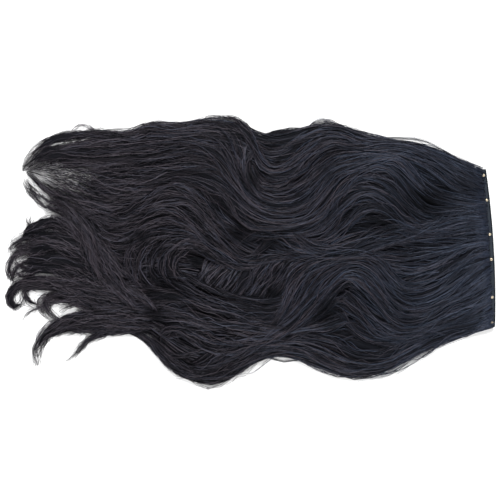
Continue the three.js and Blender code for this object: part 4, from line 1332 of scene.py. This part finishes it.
low_ends = [
    ("clump_a", 7, 48, 0.85, 0.9, 10, [(128, 272), (112, 260), (96, 247), (80, 236), (65, 228), (50, 223),
        (38, 226), (28, 231), (21, 239), (19, 249)]),
    ("clump_b", 7, 48, 0.9, 1.2, 10, [(116, 262), (104, 258), (92, 252), (76, 244), (60, 239), (46, 237),
        (33, 236), (22, 240), (13, 247)]),
    ("clump_c", 7, 48, 0.85, 1.2, 12, [(118, 266), (104, 263), (88, 258), (70, 250), (52, 246), (36, 248),
        (22, 252), (12, 257)]),
    ("clump_d", 7, 48, 0.92, 1.2, 12, [(124, 276), (112, 273), (92, 268), (72, 262), (52, 258), (34, 260),
        (20, 264), (11, 269)]),
    ("clump_e", 7, 48, 0.86, 1.2, 12, [(128, 284), (114, 282), (94, 279), (74, 274), (55, 269), (36, 268),
        (20, 272), (10, 277)]),
    ("clump_f", 6, 36, 0.8, 0.8, 10, [(112, 256), (100, 253), (86, 250), (68, 250), (52, 252)]),
    ("tip_curl_a", 1.5, 12, 0.9, 0.4, 8, [(46, 234), (34, 236), (22, 239), (12, 244), (7, 251), (8, 258)]),
    ("tip_curl_b", 1.2, 9, 0.9, 0.4, 8, [(46, 244), (32, 244), (20, 246), (12, 250), (6, 250)]),
    ("tip_curl_c", 1.2, 9, 0.9, 0.4, 8, [(34, 254), (24, 252), (16, 247), (11, 241), (9, 235)]),
    ("tip_curl_d", 1.2, 9, 0.8, 0.4, 8, [(38, 264), (26, 268), (17, 266), (12, 260), (12, 254)]),
    ("tip_curl_e", 1.2, 9, 0.8, 0.4, 8, [(36, 272), (24, 277), (15, 274), (10, 267)]),
    ("tip_curl_f", 1.2, 9, 0.8, 0.4, 8, [(40, 232), (30, 226), (26, 220), (28, 214)]),
    ("ring", 2.2, 30, 0.7, 0.4, 0, [(70, 260), (50, 254), (34, 250), (22, 251), (13, 256), (9, 263),
        (8, 271), (12, 278), (18, 273)]),
    ("ring_wisp", 1, 9, 0.8, 0.4, 0, [(30, 258), (22, 262), (16, 268), (11, 275), (8, 284)]),
    ("hook_end_a", 4.5, 51, 0.94, 0.4, 14, [(150, 292), (128, 290), (104, 289), (84, 286), (64, 283),
        (44, 280), (28, 281), (16, 286), (10, 293), (8, 300), (13, 307), (19, 305), (23, 297), (24, 291)]),
    ("hook_end_b", 4.5, 45, 0.88, 0.6, 20, [(146, 300), (122, 298), (98, 296), (76, 291), (58, 286),
        (44, 284), (30, 285), (18, 290), (11, 298)]),
    ("hook_end_c", 2.5, 24, 0.86, 0.4, 10, [(96, 300), (76, 296), (58, 290), (44, 288.5), (32, 288.5),
        (24, 291), (25, 297), (31, 303), (40, 305), (46, 302)]),
    ("under_hook_a", 6, 42, 0.8, 0.8, 10, [(140, 298), (118, 297), (98, 297), (80, 297), (64, 297),
        (52, 297), (42, 300)]),
    ("under_hook_b", 4, 27, 0.8, 0.6, 12, [(140, 306), (120, 306), (104, 307), (90, 306), (76, 305),
        (66, 307), (58, 312)]),
    ("wisp_a", 5, 36, 0.8, 0.5, 60, [(150, 306), (122, 308), (98, 306), (78, 302), (62, 298), (51, 298),
        (46, 303), (50, 311), (58, 319), (68, 326)]),
    ("wisp_b", 3, 24, 0.85, 0.5, 60, [(90, 303), (70, 300), (54, 298), (42, 300), (40, 308), (45, 317),
        (53, 325)]),
    ("wisp_c", 1, 9, 0.85, 0.3, 40, [(70, 302), (56, 303), (42, 307), (33, 310), (26, 314), (21, 321)]),
    ("tail_a", 5, 45, 0.86, 0.6, 20, [(158, 314), (132, 312), (106, 312), (84, 315), (68, 319), (56, 325),
        (47, 332), (41, 340), (37, 348), (36, 356), (38, 366)]),
    ("tail_b", 5, 45, 0.8, 0.5, 20, [(160, 320), (134, 320), (108, 322), (84, 324), (68, 327), (57, 331),
        (48, 337), (41, 346), (37, 358)]),
    ("tail_c", 4, 39, 0.78, 0.5, 10, [(160, 327), (136, 327), (110, 328), (86, 330), (68, 331), (56, 335)]),
    ("tail_d", 3, 33, 0.76, 0.5, 26, [(152, 333), (130, 331), (110, 333), (96, 337), (87, 341), (80, 348),
        (73, 355), (65, 362)]),
]
end_locks = high_ends + low_ends
lock_bodies("lock_bodies_ends", end_locks, free_end=True)
comb_locks("ends_high", high_ends, seed=13, points=28, free_end=True)
comb_locks("ends_low", low_ends, seed=15, points=28, free_end=True)

# Stray hairs are fine single fibres. They lie loosely over the locks, or have slipped out of the edges.

stray_points = 14
# Where along its lock a stray hair starts, how much of it it follows, and how it drifts off
stray_start = (0.05, 0.75)
stray_share = (0.12, 0.4)
stray_wander = 0.0012
stray_level = 0.12
stray_sink = 0.2
stray_lift = 0.0008
stray_radius = (0.00012, 0.00024)


def stray_hairs(name, locks, seed, each, reach):
    """Fine hairs that follow a lock for a stretch and drift off it to one side by up to reach pixels."""
    rng = np.random.default_rng(seed)
    run = np.linspace(0, 1, stray_points)[None, :]
    paths = []
    for _, half_width, _, level, *_, path in locks:
        spine, normal, length = lock_spine(path, spine_samples)
        start = rng.uniform(*stray_start, (each, 1))
        share = np.clip(start + rng.uniform(*stray_share, (each, 1)) * run, 0, 1)
        at = (share * (spine_samples - 1)).astype(int)
        drift = rng.uniform(-1, 1, (each, 1)) * reach * pixel * run**1.5
        drift = drift + half_width * pixel * rng.uniform(-1, 1, (each, 1))
        drift = drift + waves(rng, each, run, stray_wander, 0.5, 2)
        place = spine[at] + normal[at] * drift[..., None]
        x = place[..., 0]
        y = place[..., 1]
        height = depth_here(x, y) * (level + stray_level) * (1 - stray_sink * run)
        z = underside(x, y) + height + stray_lift
        paths.append(np.concatenate([place, z[..., None]], 2))
    paths = np.concatenate(paths)
    radii = rng.uniform(*stray_radius, (len(paths), 1)) * np.clip((1 - run) * 5, 0.3, 1)
    add_strands(name, paths, radii, rng.beta(0.8, 0.6, (len(paths), 1)))


stray_hairs("strays_middle", wave_locks + middle_locks, seed=21, each=13, reach=11)
stray_hairs("strays_ends", end_locks, seed=22, each=11, reach=7)
